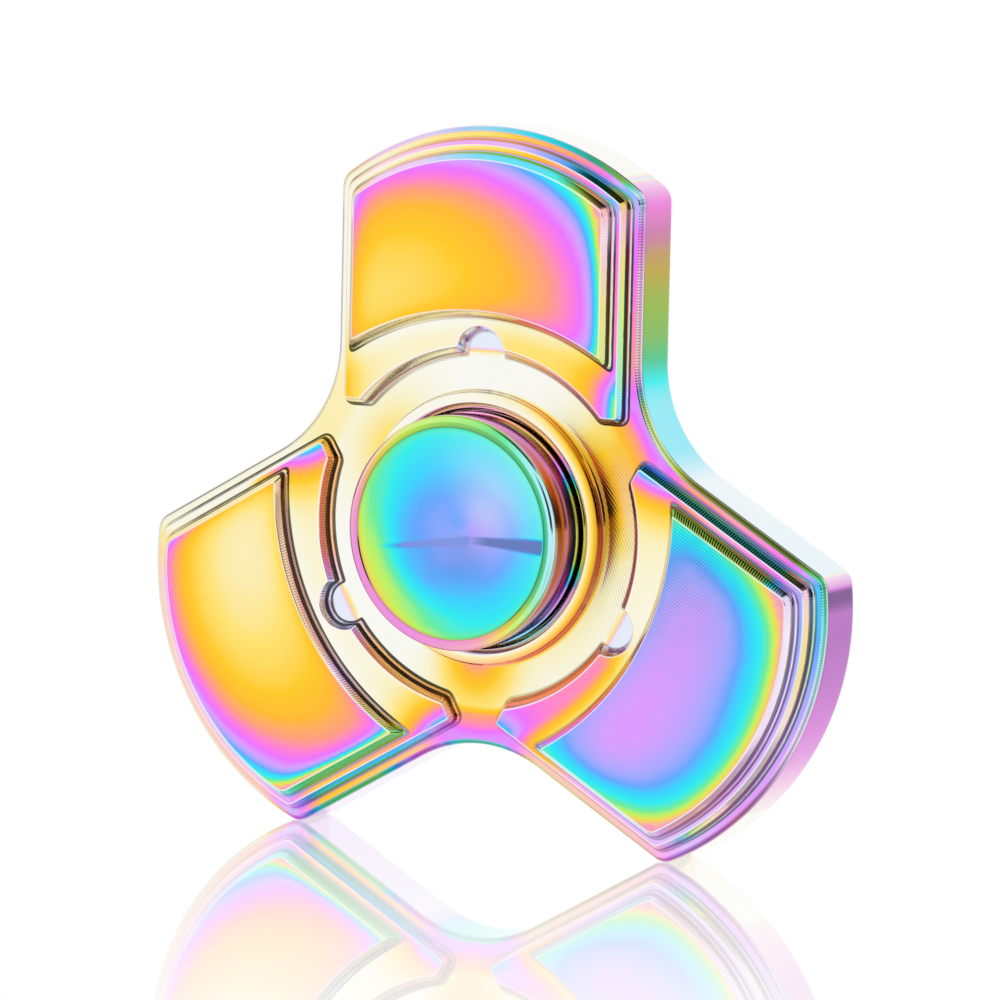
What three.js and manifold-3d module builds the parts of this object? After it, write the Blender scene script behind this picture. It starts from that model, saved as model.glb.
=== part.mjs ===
// A three-lobed metal fidget spinner on a shielded R188 ball bearing.
// Units are millimetres, +Z is up, and the spin axis is Y with the front face towards -Y.
// The origin is the bearing's centre. The spinner stands on the corners of its two lower lobes.
import * as THREE from 'three';
import { mergeVertices } from 'three/addons/utils/BufferGeometryUtils.js';
import Module from 'manifold-3d';

const wasm = await Module();
wasm.setup();

// ---------- driving dimensions ----------

const LOBE_COUNT = 3;
const TIP_RADIUS = 30;            // hub centre to the crown of a lobe
const LOBE_HALF_WIDTH = 12.9;
const CROWN_RADIUS = 20.83;       // the lobe's outer arc
const CORNER_RADIUS = 1.5;
const WEB_RADIUS = 9.83;          // hollow between two lobes

// The lobe rises in steps. Heights are measured from the mid plane, insets from the outline.
const EDGE = { height: 2.02, inset: 0 };
const RIM = { height: 2.42, inset: 0.39 };
const TERRACE_FOOT_INSET = 0.90;
const TERRACE = { height: 3.49, inset: 1.33 };
const PANEL_FOOT_INSET = 1.81;
const PANEL = { height: 4.50, inset: 2.35 };
const TERRACE_END = 9.0;          // the terrace stops square, this far from the hub centre
const PANEL_ARC = { radius: 20.77, centre: -4.38 };
const STEPPED_CORNER_RADIUS = 0.8;

// The hub is a round floor between the terraces, with a collar round the bearing.
const HUB_FLOOR = { foot: 13.05, top: 13.65, height: 2.38 };
const NOTCH = { centre: 13.15, footRadius: 1.65, topRadius: 2.05 };
const COLLAR = { bore: 9.05, lip: 9.47, outer: 10.18, filletEdge: 10.72, root: 2.08,
  lipHeight: 3.52, lipSlope: 0.12, shoulderHeight: 3.27, shoulderWidth: 0.03, shoulderDrop: 0.07 };
const FILLET_MIDPOINT = 0.3;      // how far out and up the one point between a fillet's ends lies

// Shielded R188 bearing: 6.35 x 12.7 x 4.76 with ten 5/64 inch balls.
const BEARING = { bore: 3.175, outer: 6.35, halfWidth: 2.38, ballCount: 10 };
const BALL_RADIUS = 0.992;
const PITCH_RADIUS = 4.7625;
const GROOVE_RADIUS = 1.035;
const INNER_SHOULDER = 4.15;
const OUTER_SHOULDER = 5.40;
const SEAT_CLEARANCE = 0.04;
const SHIELD_SEAT = { radius: 5.75, near: 1.78, far: 1.98 };
const WIRE_GROOVE = { radius: 5.93, near: 1.98, far: 2.22 };
const WIRE_LIP_RADIUS = 5.70;
const SHIELD = { bore: 4.30, outer: 5.72, thickness: 0.18 };
const WIRE = { radius: 5.80, thickness: 0.20, gapAngle: THREE.MathUtils.degToRad(24) };
const CAGE = { inner: 4.36, outer: 5.18, back: -1.36, front: 0.45, pocketRadius: 1.09,
  pocketLength: 2 };

// Finger caps: a dished button and a flange with a deep groove between them.
const CAP = { radius: 8.80, top: 7.47, edgeRadius: 0.5, rimInner: 7.88, rimBevel: 0.1,
  grooveRadius: 7.6, grooveTop: 4.94, grooveBottom: 3.87, flangeBottom: 2.70, flangeChamfer: 0.12,
  bossRadius: 4.0 };
const DISH = { top: 7.39, depth: 1.15, curve: 1.4, rings: [0, 0.4, 0.75] };
const CAP_SEAT_GAP = 0.03;
const SLEEVE = { radius: 3.14, bore: 2.15, end: 2.10, chamfer: 0.2, holeBottom: -4.0 };
const STUD = { radius: 2.00, end: -3.6, chamfer: 0.3 };

const RING_SEGMENTS = 48;
const BEARING_SEGMENTS = 36;
const NOTCH_SEGMENTS = 20;
const POCKET_SEGMENTS = 12;
const WIRE_STEPS = 30;
const WELD_DISTANCE = 1e-4;
const CUT_MARGIN = 0.5;           // how far a cutter stands past the face it cuts

// ---------- materials ----------

const coatedSteel = new THREE.MeshStandardMaterial({ color: 0xe8b96a, roughness: 0.18, metalness: 1 });
const coatedCap = new THREE.MeshStandardMaterial({ color: 0x4cc9e8, roughness: 0.2, metalness: 1 });
const bearingSteel = new THREE.MeshStandardMaterial({ color: 0xc9ccd0, roughness: 0.15, metalness: 1 });
const ballSteel = new THREE.MeshStandardMaterial({ color: 0xe2e5e8, roughness: 0.05, metalness: 1 });
const cageSteel = new THREE.MeshStandardMaterial({ color: 0x9aa0a6, roughness: 0.35, metalness: 1 });
const wireSteel = new THREE.MeshStandardMaterial({ color: 0x6d7278, roughness: 0.3, metalness: 1 });

// ---------- solids ----------

function toSolid(geometry) {
  const bare = geometry.index ? geometry.toNonIndexed() : geometry.clone();
  bare.deleteAttribute('normal');
  bare.deleteAttribute('uv');
  const merged = mergeVertices(bare, WELD_DISTANCE);
  return new wasm.Manifold(new wasm.Mesh({
    numProp: 3,
    vertProperties: new Float32Array(merged.attributes.position.array),
    triVerts: new Uint32Array(merged.index.array),
  }));
}

function toGeometry(solid) {
  const mesh = solid.getMesh();
  const geometry = new THREE.BufferGeometry();
  geometry.setAttribute('position', new THREE.BufferAttribute(mesh.vertProperties, 3));
  geometry.setIndex(new THREE.BufferAttribute(mesh.triVerts, 1));
  return geometry;
}

function arcPoints(centreX, centreY, radius, angles) {
  return angles.map((degrees) => {
    const angle = THREE.MathUtils.degToRad(degrees);
    return new THREE.Vector2(centreX + radius * Math.cos(angle), centreY + radius * Math.sin(angle));
  });
}

function turned(points, angle) {
  return points.map((point) => point.clone().rotateAround(new THREE.Vector2(), angle));
}

// A ring or disc turned about Y from a profile of (radius, height towards the front).
function lathe(profile, segments, closed) {
  const points = profile.map(([radius, height]) => new THREE.Vector2(radius, -height));
  if (closed) points.push(points[0].clone());
  const area = THREE.ShapeUtils.area(points);
  if (area < 0) points.reverse();
  return new THREE.LatheGeometry(points, segments);
}

// A plate with sloping edges, standing equally to the front and the rear of the mid plane.
// The points outline its top face, and the slope spreads outwards to its foot.
function steppedPlate(points, footHeight, topHeight, spread) {
  const geometry = new THREE.ExtrudeGeometry(new THREE.Shape(points), {
    depth: 2 * footHeight,
    bevelThickness: topHeight - footHeight,
    bevelSize: spread,
    bevelSegments: 1,
  });
  geometry.translate(0, 0, -footHeight);
  geometry.rotateX(Math.PI / 2);
  return toSolid(geometry);
}

// ---------- outlines of one lobe, which points along +Y of its own plane ----------

// Both corners and the crown, from the right side to the left side.
function crown(inset, cornerRadius) {
  const halfWidth = LOBE_HALF_WIDTH - inset;
  const radius = CROWN_RADIUS - inset;
  const centreY = TIP_RADIUS - CROWN_RADIUS;
  const cornerX = halfWidth - cornerRadius;
  const cornerY = centreY + Math.sqrt((radius - cornerRadius) ** 2 - cornerX ** 2);
  const tangent = THREE.MathUtils.radToDeg(Math.atan2(cornerY - centreY, cornerX));
  const corner = arcPoints(cornerX, cornerY, cornerRadius, [0, 15, 30, 42, tangent]);
  const arc = arcPoints(0, centreY, radius, [60, 66, 72, 78, 84, 90]);
  const right = [...corner, ...arc];
  const left = right.slice(0, -1).reverse().map((point) => new THREE.Vector2(-point.x, point.y));
  return [...right, ...left];
}

// The hollow to the left of a lobe that points along +Y.
function web(inset) {
  const bisector = 90 + 180 / LOBE_COUNT;
  const distance = (LOBE_HALF_WIDTH + WEB_RADIUS) / Math.sin(Math.PI / LOBE_COUNT);
  const [centre] = arcPoints(0, 0, distance, [bisector]);
  const angles = [30, 20, 10, 0, -10, -20, -30].map((step) => bisector + 180 + step);
  return arcPoints(centre.x, centre.y, WEB_RADIUS + inset, angles);
}

function frameOutline(inset) {
  const lobe = [...crown(inset, CORNER_RADIUS - inset), ...web(inset)];
  const outline = [];
  for (let i = 0; i < LOBE_COUNT; i += 1) {
    outline.push(...turned(lobe, (i * 2 * Math.PI) / LOBE_COUNT));
  }
  return outline;
}

function terraceOutline() {
  const halfWidth = LOBE_HALF_WIDTH - TERRACE.inset;
  return [new THREE.Vector2(halfWidth, TERRACE_END),
    ...crown(TERRACE.inset, STEPPED_CORNER_RADIUS),
    new THREE.Vector2(-halfWidth, TERRACE_END)];
}

function panelOutline() {
  const halfWidth = LOBE_HALF_WIDTH - PANEL.inset;
  const reach = THREE.MathUtils.radToDeg(Math.asin(halfWidth / PANEL_ARC.radius));
  const angles = [-1, -0.75, -0.5, -0.25, 0, 0.25, 0.5, 0.75, 1].map((step) => 90 - step * reach);
  const innerArc = arcPoints(0, PANEL_ARC.centre, PANEL_ARC.radius, angles);
  return [...crown(PANEL.inset, STEPPED_CORNER_RADIUS), ...innerArc];
}

// ---------- frame ----------

function hubCutter() {
  const beyond = PANEL.height + CUT_MARGIN;
  const run = (HUB_FLOOR.top - HUB_FLOOR.foot) / (TERRACE.height - HUB_FLOOR.height);
  const wide = HUB_FLOOR.top + run * (beyond - TERRACE.height);
  return toSolid(lathe([[0, -beyond], [wide, -beyond], [HUB_FLOOR.foot, -HUB_FLOOR.height],
    [HUB_FLOOR.foot, HUB_FLOOR.height], [wide, beyond], [0, beyond]], RING_SEGMENTS, false));
}

function notchCutter(side) {
  const height = TERRACE.height + CUT_MARGIN - RIM.height;
  const flare = (NOTCH.topRadius - NOTCH.footRadius) / (TERRACE.height - RIM.height);
  const cutter = new THREE.CylinderGeometry(NOTCH.footRadius + flare * height, NOTCH.footRadius,
    height, NOTCH_SEGMENTS);
  cutter.translate(0, RIM.height + height / 2, 0);
  if (side < 0) cutter.rotateX(Math.PI);
  cutter.translate(0, 0, NOTCH.centre);
  return toSolid(cutter);
}

function collarRing(side) {
  const { bore, lip, outer, filletEdge, root, lipHeight, lipSlope, shoulderHeight } = COLLAR;
  const floor = HUB_FLOOR.height;
  const fillet = filletEdge - outer;
  const middle = FILLET_MIDPOINT * fillet;
  const profile = [[bore, root], [bore, lipHeight - lipSlope], [lip, lipHeight],
    [outer - COLLAR.shoulderWidth, shoulderHeight], [outer, shoulderHeight - COLLAR.shoulderDrop],
    [outer, floor + fillet], [outer + middle, floor + middle], [filletEdge, floor],
    [filletEdge, root]];
  return toSolid(lathe(profile.map(([r, h]) => [r, side * h]), RING_SEGMENTS, true));
}

function makeFrame() {
  let plate = steppedPlate(frameOutline(RIM.inset), EDGE.height, RIM.height, RIM.inset - EDGE.inset);
  const { top: floorEdge, height: floor } = HUB_FLOOR;
  const floorCut = lathe([[0, floor], [floorEdge, floor], [floorEdge, TERRACE.height],
    [0, TERRACE.height]], RING_SEGMENTS, false);
  plate = plate.subtract(toSolid(floorCut.clone()));
  plate = plate.subtract(toSolid(floorCut.rotateX(Math.PI)));

  let steps = steppedPlate(terraceOutline(), RIM.height, TERRACE.height, TERRACE.inset - TERRACE_FOOT_INSET);
  steps = steps.subtract(hubCutter());
  for (const side of [1, -1]) steps = steps.subtract(notchCutter(side));
  steps = steps.add(steppedPlate(panelOutline(), TERRACE.height, PANEL.height, PANEL.inset - PANEL_FOOT_INSET));

  let frame = plate;
  for (let i = 0; i < LOBE_COUNT; i += 1) {
    frame = frame.add(steps.rotate([0, (i * 360) / LOBE_COUNT, 0]));
  }
  for (const side of [1, -1]) frame = frame.add(collarRing(side));
  const bore = new THREE.CylinderGeometry(BEARING.outer + SEAT_CLEARANCE, BEARING.outer + SEAT_CLEARANCE,
    4 * PANEL.height, RING_SEGMENTS);
  return toGeometry(frame.subtract(toSolid(bore)));
}

// ---------- bearing ----------

// The race groove as an arc about the ball's centre, from one shoulder to the other.
function raceGroove(shoulder) {
  const side = Math.sign(shoulder - PITCH_RADIUS);
  const reach = Math.acos(Math.abs(shoulder - PITCH_RADIUS) / GROOVE_RADIUS);
  return [-1, -0.5, 0, 0.5, 1].map((step) => [
    PITCH_RADIUS + side * GROOVE_RADIUS * Math.cos(step * reach),
    GROOVE_RADIUS * Math.sin(step * reach),
  ]);
}

function makeInnerRing() {
  const { bore, halfWidth } = BEARING;
  return lathe([[bore, halfWidth], [bore, -halfWidth], [INNER_SHOULDER, -halfWidth],
    ...raceGroove(INNER_SHOULDER), [INNER_SHOULDER, halfWidth]], BEARING_SEGMENTS, true);
}

function makeOuterRing() {
  const { outer, halfWidth } = BEARING;
  const shieldSeat = [[WIRE_LIP_RADIUS, halfWidth], [WIRE_LIP_RADIUS, WIRE_GROOVE.far],
    [WIRE_GROOVE.radius, WIRE_GROOVE.far], [WIRE_GROOVE.radius, WIRE_GROOVE.near],
    [SHIELD_SEAT.radius, SHIELD_SEAT.far], [SHIELD_SEAT.radius, SHIELD_SEAT.near],
    [OUTER_SHOULDER, SHIELD_SEAT.near]];
  return lathe([[outer, halfWidth], [outer, -halfWidth], ...shieldSeat.map(([r, h]) => [r, -h]),
    ...raceGroove(OUTER_SHOULDER), ...shieldSeat.slice().reverse()], BEARING_SEGMENTS, true);
}

function makeCage() {
  const { inner, outer, back, front, pocketRadius, pocketLength } = CAGE;
  let cage = toSolid(lathe([[inner, back], [outer, back], [outer, front], [inner, front]],
    BEARING_SEGMENTS, true));
  for (let i = 0; i < BEARING.ballCount; i += 1) {
    const pocket = new THREE.CylinderGeometry(pocketRadius, pocketRadius, pocketLength,
      POCKET_SEGMENTS);
    pocket.rotateZ(Math.PI / 2);
    pocket.translate(PITCH_RADIUS, 0, 0);
    pocket.rotateY(ballAngle(i));
    cage = cage.subtract(toSolid(pocket));
  }
  return toGeometry(cage);
}

function ballAngle(i) {
  return (i * 2 * Math.PI) / BEARING.ballCount;
}

function makeBall(i) {
  const ball = new THREE.IcosahedronGeometry(BALL_RADIUS, 2);
  ball.translate(PITCH_RADIUS, 0, 0);
  ball.rotateY(ballAngle(i));
  return toGeometry(toSolid(ball));
}

function makeShield(side) {
  const near = SHIELD_SEAT.near + (SHIELD_SEAT.far - SHIELD_SEAT.near - SHIELD.thickness) / 2;
  const far = near + SHIELD.thickness;
  return lathe([[SHIELD.bore, near], [SHIELD.outer, near], [SHIELD.outer, far], [SHIELD.bore, far]]
    .map(([r, h]) => [r, side * h]), BEARING_SEGMENTS, true);
}

class WireArc extends THREE.Curve {
  constructor(height) {
    super();
    this.height = height;
  }

  getPoint(t, target = new THREE.Vector3()) {
    const angle = WIRE.gapAngle / 2 + t * (2 * Math.PI - WIRE.gapAngle);
    return target.set(WIRE.radius * Math.cos(angle), this.height, WIRE.radius * Math.sin(angle));
  }
}

function makeShieldWire(side) {
  const section = new THREE.Shape(arcPoints(0, 0, WIRE.thickness / 2, [0, 60, 120, 180, 240, 300]));
  const height = -side * (WIRE_GROOVE.near + WIRE_GROOVE.far) / 2;
  return new THREE.ExtrudeGeometry(section, { extrudePath: new WireArc(height), steps: WIRE_STEPS });
}

// ---------- finger caps ----------

// The outside of a cap from the middle of its dish to the boss on the bearing's inner ring.
function capSurface() {
  const { radius, top, edgeRadius, rimInner, flangeBottom, flangeChamfer } = CAP;
  const edge = arcPoints(radius - edgeRadius, top - edgeRadius, edgeRadius, [90, 60, 30, 0])
    .map((point) => point.toArray());
  const dish = DISH.rings.map((step) => [step * rimInner,
    DISH.top - DISH.depth * (1 - step ** DISH.curve)]);
  return [...dish, [rimInner, DISH.top], [rimInner + CAP.rimBevel, top], ...edge,
    [radius, CAP.grooveTop], [CAP.grooveRadius, CAP.grooveTop],
    [CAP.grooveRadius, CAP.grooveBottom], [radius, CAP.grooveBottom],
    [radius, flangeBottom + flangeChamfer], [radius - flangeChamfer, flangeBottom],
    [CAP.bossRadius, flangeBottom], [CAP.bossRadius, BEARING.halfWidth + CAP_SEAT_GAP]];
}

function makeFrontCap() {
  return lathe([...capSurface(), [STUD.radius, BEARING.halfWidth + CAP_SEAT_GAP],
    [STUD.radius, STUD.end + STUD.chamfer], [STUD.radius - STUD.chamfer, STUD.end],
    [0, STUD.end]], RING_SEGMENTS, false);
}

function makeRearCap() {
  const outside = capSurface().map(([r, h]) => [r, -h]);
  return lathe([...outside, [SLEEVE.radius, -BEARING.halfWidth - CAP_SEAT_GAP],
    [SLEEVE.radius, SLEEVE.end - SLEEVE.chamfer], [SLEEVE.radius - SLEEVE.chamfer, SLEEVE.end],
    [SLEEVE.bore, SLEEVE.end],
    [SLEEVE.bore, SLEEVE.holeBottom], [0, SLEEVE.holeBottom]], RING_SEGMENTS, false);
}

// ---------- assembly ----------

const spinner = new THREE.Group();

function addPart(name, geometry, material) {
  const mesh = new THREE.Mesh(geometry, material);
  mesh.name = name;
  spinner.add(mesh);
}

addPart('frame', makeFrame(), coatedSteel);
addPart('bearing_outer_ring', makeOuterRing(), bearingSteel);
addPart('bearing_inner_ring', makeInnerRing(), bearingSteel);
addPart('ball_cage', makeCage(), cageSteel);
for (let i = 0; i < BEARING.ballCount; i += 1) {
  addPart(`ball_${String(i + 1).padStart(2, '0')}`, makeBall(i), ballSteel);
}
for (const [end, side] of [['front', 1], ['rear', -1]]) {
  addPart(`shield_${end}`, makeShield(side), bearingSteel);
  addPart(`shield_wire_${end}`, makeShieldWire(side), wireSteel);
}
addPart('front_cap', makeFrontCap(), coatedCap);
addPart('rear_cap', makeRearCap(), coatedCap);

export default spinner;
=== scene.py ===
"""Looks of a three-lobed fidget spinner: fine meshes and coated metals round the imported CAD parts."""
import math
from functools import partial

import bmesh
import bpy
import numpy as np
from mathutils import Matrix, Vector
from mathutils.geometry import delaunay_2d_cdt


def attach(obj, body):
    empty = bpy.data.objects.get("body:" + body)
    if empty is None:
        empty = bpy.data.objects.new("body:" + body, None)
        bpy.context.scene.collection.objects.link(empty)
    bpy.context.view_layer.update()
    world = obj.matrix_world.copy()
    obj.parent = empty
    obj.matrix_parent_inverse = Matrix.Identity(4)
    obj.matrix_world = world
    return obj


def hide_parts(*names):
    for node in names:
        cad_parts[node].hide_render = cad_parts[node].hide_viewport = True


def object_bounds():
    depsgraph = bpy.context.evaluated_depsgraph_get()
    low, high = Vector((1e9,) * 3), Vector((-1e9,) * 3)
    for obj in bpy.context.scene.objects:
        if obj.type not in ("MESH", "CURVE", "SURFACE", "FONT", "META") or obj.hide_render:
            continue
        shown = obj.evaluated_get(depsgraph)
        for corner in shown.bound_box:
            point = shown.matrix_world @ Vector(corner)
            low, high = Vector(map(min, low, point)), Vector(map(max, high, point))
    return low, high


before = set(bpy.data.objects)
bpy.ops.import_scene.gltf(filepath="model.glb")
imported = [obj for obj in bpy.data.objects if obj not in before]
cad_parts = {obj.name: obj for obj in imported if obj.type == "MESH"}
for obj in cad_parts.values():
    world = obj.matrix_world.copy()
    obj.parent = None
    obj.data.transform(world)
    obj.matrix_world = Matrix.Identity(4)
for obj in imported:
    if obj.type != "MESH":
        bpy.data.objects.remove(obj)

cad_low, cad_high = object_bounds()

# ---------- sizes in millimetres, as in the CAD ----------
# Heights are measured from the mid plane. Insets are measured from the frame's outline.

LOBE_COUNT = 3
TIP_RADIUS = 30.0
LOBE_HALF_WIDTH = 12.9
CROWN_RADIUS = 20.83
CORNER_RADIUS = 1.5
WEB_RADIUS = 9.83
EDGE_HEIGHT = 2.02
RIM_HEIGHT = 2.42
RIM_INSET = 0.39
TERRACE_HEIGHT = 3.49
TERRACE_FOOT_INSET = 0.90
TERRACE_SPREAD = 0.43
TERRACE_END = 9.0
PANEL_HEIGHT = 4.50
PANEL_FOOT_INSET = 1.81
PANEL_SPREAD = 0.54
PANEL_ARC_RADIUS = 20.77
PANEL_ARC_CENTRE = -4.38
PANEL_ARC_MIDDLE = (0.0, PANEL_ARC_CENTRE)
STEPPED_CORNER_RADIUS = 0.8
HUB_HEIGHT = 2.38
HUB_FOOT = 13.05
HUB_TOP = 13.65
NOTCH_CENTRE = 13.15
NOTCH_FOOT = 1.65
NOTCH_TOP = 2.05
COLLAR_BORE = 9.05
COLLAR_LIP = 9.47
COLLAR_OUTER = 10.18
COLLAR_FILLET = 0.54
COLLAR_LIP_HEIGHT = 3.52
COLLAR_SHOULDER_HEIGHT = 3.27
COLLAR_BEVEL = 0.12               # the lip's drop towards the bore
COLLAR_ROUNDS = ((COLLAR_FILLET, 10), (0.06, 4), (0.05, 4), (0.08, 4), (0.2, 6), (0.15, 5))
SEAT_RADIUS = 6.39
SEAT_RING = 1.2                   # one more ring of points on the seat's wall

# How far the ends of the steps are softened: the least, at the top, and the growth towards the foot.
TERRACE_SOFT = ((0.30, 1.0), (0.16, 0.45), (0.14, 0.3))
PANEL_SOFT = (0.22, 0.8)

FOOT_FILLET = 0.20
EDGE_ROUND = 0.10
KNEE_SHARE = 0.28                 # a wall is steeper below its knee
KNEE_RISE = 0.56
KNEE_ROUND = 0.20
NEAR_TOP_SHARE = 0.85
GUARD = 0.05                      # a flat strip this wide lies beside each rounding
CHAMFER_ROUND = (0.12, 4)         # radius and steps
CHAMFER_RIBBED = 0.5
CHAMFER_RIB_START = (2.0, 2.1)
CHAMFER_SHARES = (0.15, 0.5, 0.85)
CHAMFER_START = (EDGE_HEIGHT - 0.04, EDGE_HEIGHT + 0.04)
CHAMFER_END = (RIM_INSET - 0.04, RIM_INSET + 0.02)
OUTER_SIDE_HEIGHTS = (0.0, 0.5, 1.0, 1.5)
FLAT_GRID = 0.5
GRID_CLEARANCE = 0.3
SLIVER_AREA = 1e-4
BLOCK = 200                       # points compared at a time
FILL_TOLERANCE = 1e-7
PLANE_TOLERANCE = 1e-6

CORNER_STEPS = 12
CROWN_STEPS = 84
WEB_STEPS = 40
SIDE_STEPS = 28
LONG_SIDE_STEPS = 38
HUB_ARC_STEPS = 34
NOTCH_STEPS = 24
END_STEPS = 4
SOFT_STEPS = 5
ROUND_STEPS = 4
RING_STEPS = 256
FLOOR_STEP = 0.14
CREASE_REACH = 6.6                # degrees each side of a web's middle
CREASE_STEPS = 16

MM = 0.001

# ---------- outlines in the plane of the face, one lobe pointing along +Y ----------


def turn(points, degrees):
    angle = math.radians(degrees)
    turned = np.array([[math.cos(angle), math.sin(angle)], [-math.sin(angle), math.cos(angle)]])
    return np.asarray(points, float) @ turned


def line(start, end, steps, soft=0.0):
    """A straight section of an outline, rounded over the length `soft` into the next one."""
    start, end = np.asarray(start, float), np.asarray(end, float)
    length = float(np.hypot(*(end - start)))
    return (lambda s: start + np.multiply.outer(s, end - start)), length, steps, soft


def arc(centre, radius, start, end, steps, soft=0.0):
    """A circular section between two angles in degrees."""
    centre = np.asarray(centre, float)

    def point(s):
        angle = np.radians(start + np.asarray(s) * (end - start))
        return centre + radius * np.stack((np.cos(angle), np.sin(angle)), axis=-1)

    return point, radius * math.radians(abs(end - start)), steps, soft


def outline(sections):
    """A closed outline through the sections, always with the same number of points."""
    points = []
    for i, (point, length, steps, soft) in enumerate(sections):
        before = sections[i - 1][3]
        end = 1 - soft / length
        points.append(point(np.linspace(before / length, end, steps, endpoint=soft > 0)))
        if soft > 0:
            after, after_length = sections[(i + 1) % len(sections)][:2]
            a, corner, b = point(end), point(1.0), after(soft / after_length)
            t = np.linspace(0, 1, SOFT_STEPS + 2)[1:-1, None]
            points.append((1 - t) ** 2 * a + 2 * t * (1 - t) * corner + t**2 * b)
    return np.vstack(points)


def crown(inset, corner):
    """A lobe's outer edge from its right side to its left: corner, long arc, corner."""
    half = LOBE_HALF_WIDTH - inset
    radius = CROWN_RADIUS - inset
    centre_y = TIP_RADIUS - CROWN_RADIUS
    x = half - corner
    y = centre_y + math.sqrt((radius - corner) ** 2 - x**2)
    tangent = math.degrees(math.atan2(y - centre_y, x))
    return [
        arc((x, y), corner, 0, tangent, CORNER_STEPS),
        arc((0, centre_y), radius, tangent, 180 - tangent, CROWN_STEPS),
        arc((-x, y), corner, 180 - tangent, 180, CORNER_STEPS),
    ], y


def frame_outline(inset):
    edge, corner_y = crown(inset, CORNER_RADIUS - inset)
    half = LOBE_HALF_WIDTH - inset
    bisector = 90 + 180 / LOBE_COUNT
    web_distance = (LOBE_HALF_WIDTH + WEB_RADIUS) / math.sin(math.pi / LOBE_COUNT)
    centre = turn([web_distance, 0], bisector)
    radius = WEB_RADIUS + inset
    next_start = turn([half, corner_y], 360 / LOBE_COUNT)
    reach = 180 / LOBE_COUNT / 2
    web = arc(centre, radius, bisector + 180 + reach, bisector + 180 - reach, WEB_STEPS)
    lobe = outline([
        *edge,
        line((-half, corner_y), web[0](0.0), SIDE_STEPS),
        web,
        line(web[0](1.0), next_start, SIDE_STEPS),
    ])
    return np.vstack([turn(lobe, i * 360 / LOBE_COUNT) for i in range(LOBE_COUNT)])


def terrace_outline(offset):
    """The terrace's outline, offset inwards from its foot."""
    rise = offset / TERRACE_SPREAD
    inset = TERRACE_FOOT_INSET + offset
    half = LOBE_HALF_WIDTH - inset
    end = TERRACE_END - TERRACE_SPREAD + offset
    hub = HUB_FOOT + rise * (HUB_TOP - HUB_FOOT)
    notch = NOTCH_FOOT + rise * (NOTCH_TOP - NOTCH_FOOT)
    spread = TERRACE_SPREAD - offset
    edge, corner_y = crown(inset, STEPPED_CORNER_RADIUS + spread)

    end_x = math.sqrt(hub**2 - end**2)
    end_angle = math.degrees(math.atan2(end, end_x))
    notch_y = (hub**2 - notch**2 + NOTCH_CENTRE**2) / (2 * NOTCH_CENTRE)
    notch_x = math.sqrt(hub**2 - notch_y**2)
    hub_angle = math.degrees(math.atan2(notch_y, notch_x))
    notch_angle = math.degrees(math.atan2(notch_y - NOTCH_CENTRE, notch_x))
    nose, heel, lip = (least + share * spread for least, share in TERRACE_SOFT)
    return outline([
        line((half, end), (half, corner_y), LONG_SIDE_STEPS),
        *edge,
        line((-half, corner_y), (-half, end), LONG_SIDE_STEPS, nose),
        line((-half, end), (-end_x, end), END_STEPS, heel),
        arc((0, 0), hub, 180 - end_angle, 180 - hub_angle, HUB_ARC_STEPS, lip),
        arc((0, NOTCH_CENTRE), notch, 180 - notch_angle, notch_angle, NOTCH_STEPS, lip),
        arc((0, 0), hub, hub_angle, end_angle, HUB_ARC_STEPS, heel),
        line((end_x, end), (half, end), END_STEPS, nose),
    ])


def panel_outline(offset):
    """The panel's outline, offset inwards from its foot."""
    spread = PANEL_SPREAD - offset
    half = LOBE_HALF_WIDTH - PANEL_FOOT_INSET - offset
    radius = PANEL_ARC_RADIUS - spread
    edge, corner_y = crown(PANEL_FOOT_INSET + offset, STEPPED_CORNER_RADIUS + spread)
    end_y = PANEL_ARC_CENTRE + math.sqrt(radius**2 - half**2)
    end_angle = math.degrees(math.atan2(end_y - PANEL_ARC_CENTRE, half))
    nose = PANEL_SOFT[0] + PANEL_SOFT[1] * spread
    return outline([
        line((half, end_y), (half, corner_y), SIDE_STEPS),
        *edge,
        line((-half, corner_y), (-half, end_y), SIDE_STEPS, nose),
        arc((0, PANEL_ARC_CENTRE), radius, 180 - end_angle, end_angle, 2 * HUB_ARC_STEPS, nose),
    ])


# ---------- wall profiles ----------


def fillet(before, corner, after, radius, steps=ROUND_STEPS):
    """Points on the arc that rounds a corner of a profile."""
    before, corner, after = (np.asarray(p, float) for p in (before, corner, after))
    a, b = before - corner, after - corner
    a, b = a / np.hypot(*a), b / np.hypot(*b)
    half_angle = math.acos(float(np.clip(a @ b, -1, 1))) / 2
    cut = radius / math.tan(half_angle)
    middle = (a + b) / np.hypot(*(a + b))
    centre = corner + middle * radius / math.sin(half_angle)
    p, q = corner + a * cut - centre, corner + b * cut - centre
    swing = math.acos(float(np.clip(p @ q / radius**2, -1, 1)))
    t = np.linspace(0, 1, steps)[:, None]
    return centre + (np.sin((1 - t) * swing) * p + np.sin(t * swing) * q) / math.sin(swing)


def step_profile(spread, low, high):
    """(offset, height) up a wall, from the flat below it over a knee to the flat above."""
    below, foot, top, above = (-1.0, low), (0.0, low), (spread, high), (spread + 1, high)
    knee = (KNEE_SHARE * spread, low + KNEE_RISE * (high - low))
    lower = fillet(below, foot, knee, FOOT_FILLET)
    bend = fillet(foot, knee, top, KNEE_ROUND, 3)
    upper = fillet(knee, top, above, EDGE_ROUND)
    start = lower[0] - (GUARD, 0)
    end = upper[-1] + (GUARD, 0)
    near_top = bend[-1] + NEAR_TOP_SHARE * (upper[0] - bend[-1])
    return np.vstack((start, lower, (lower[-1] + bend[0]) / 2, bend, near_top, upper, end))


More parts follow.
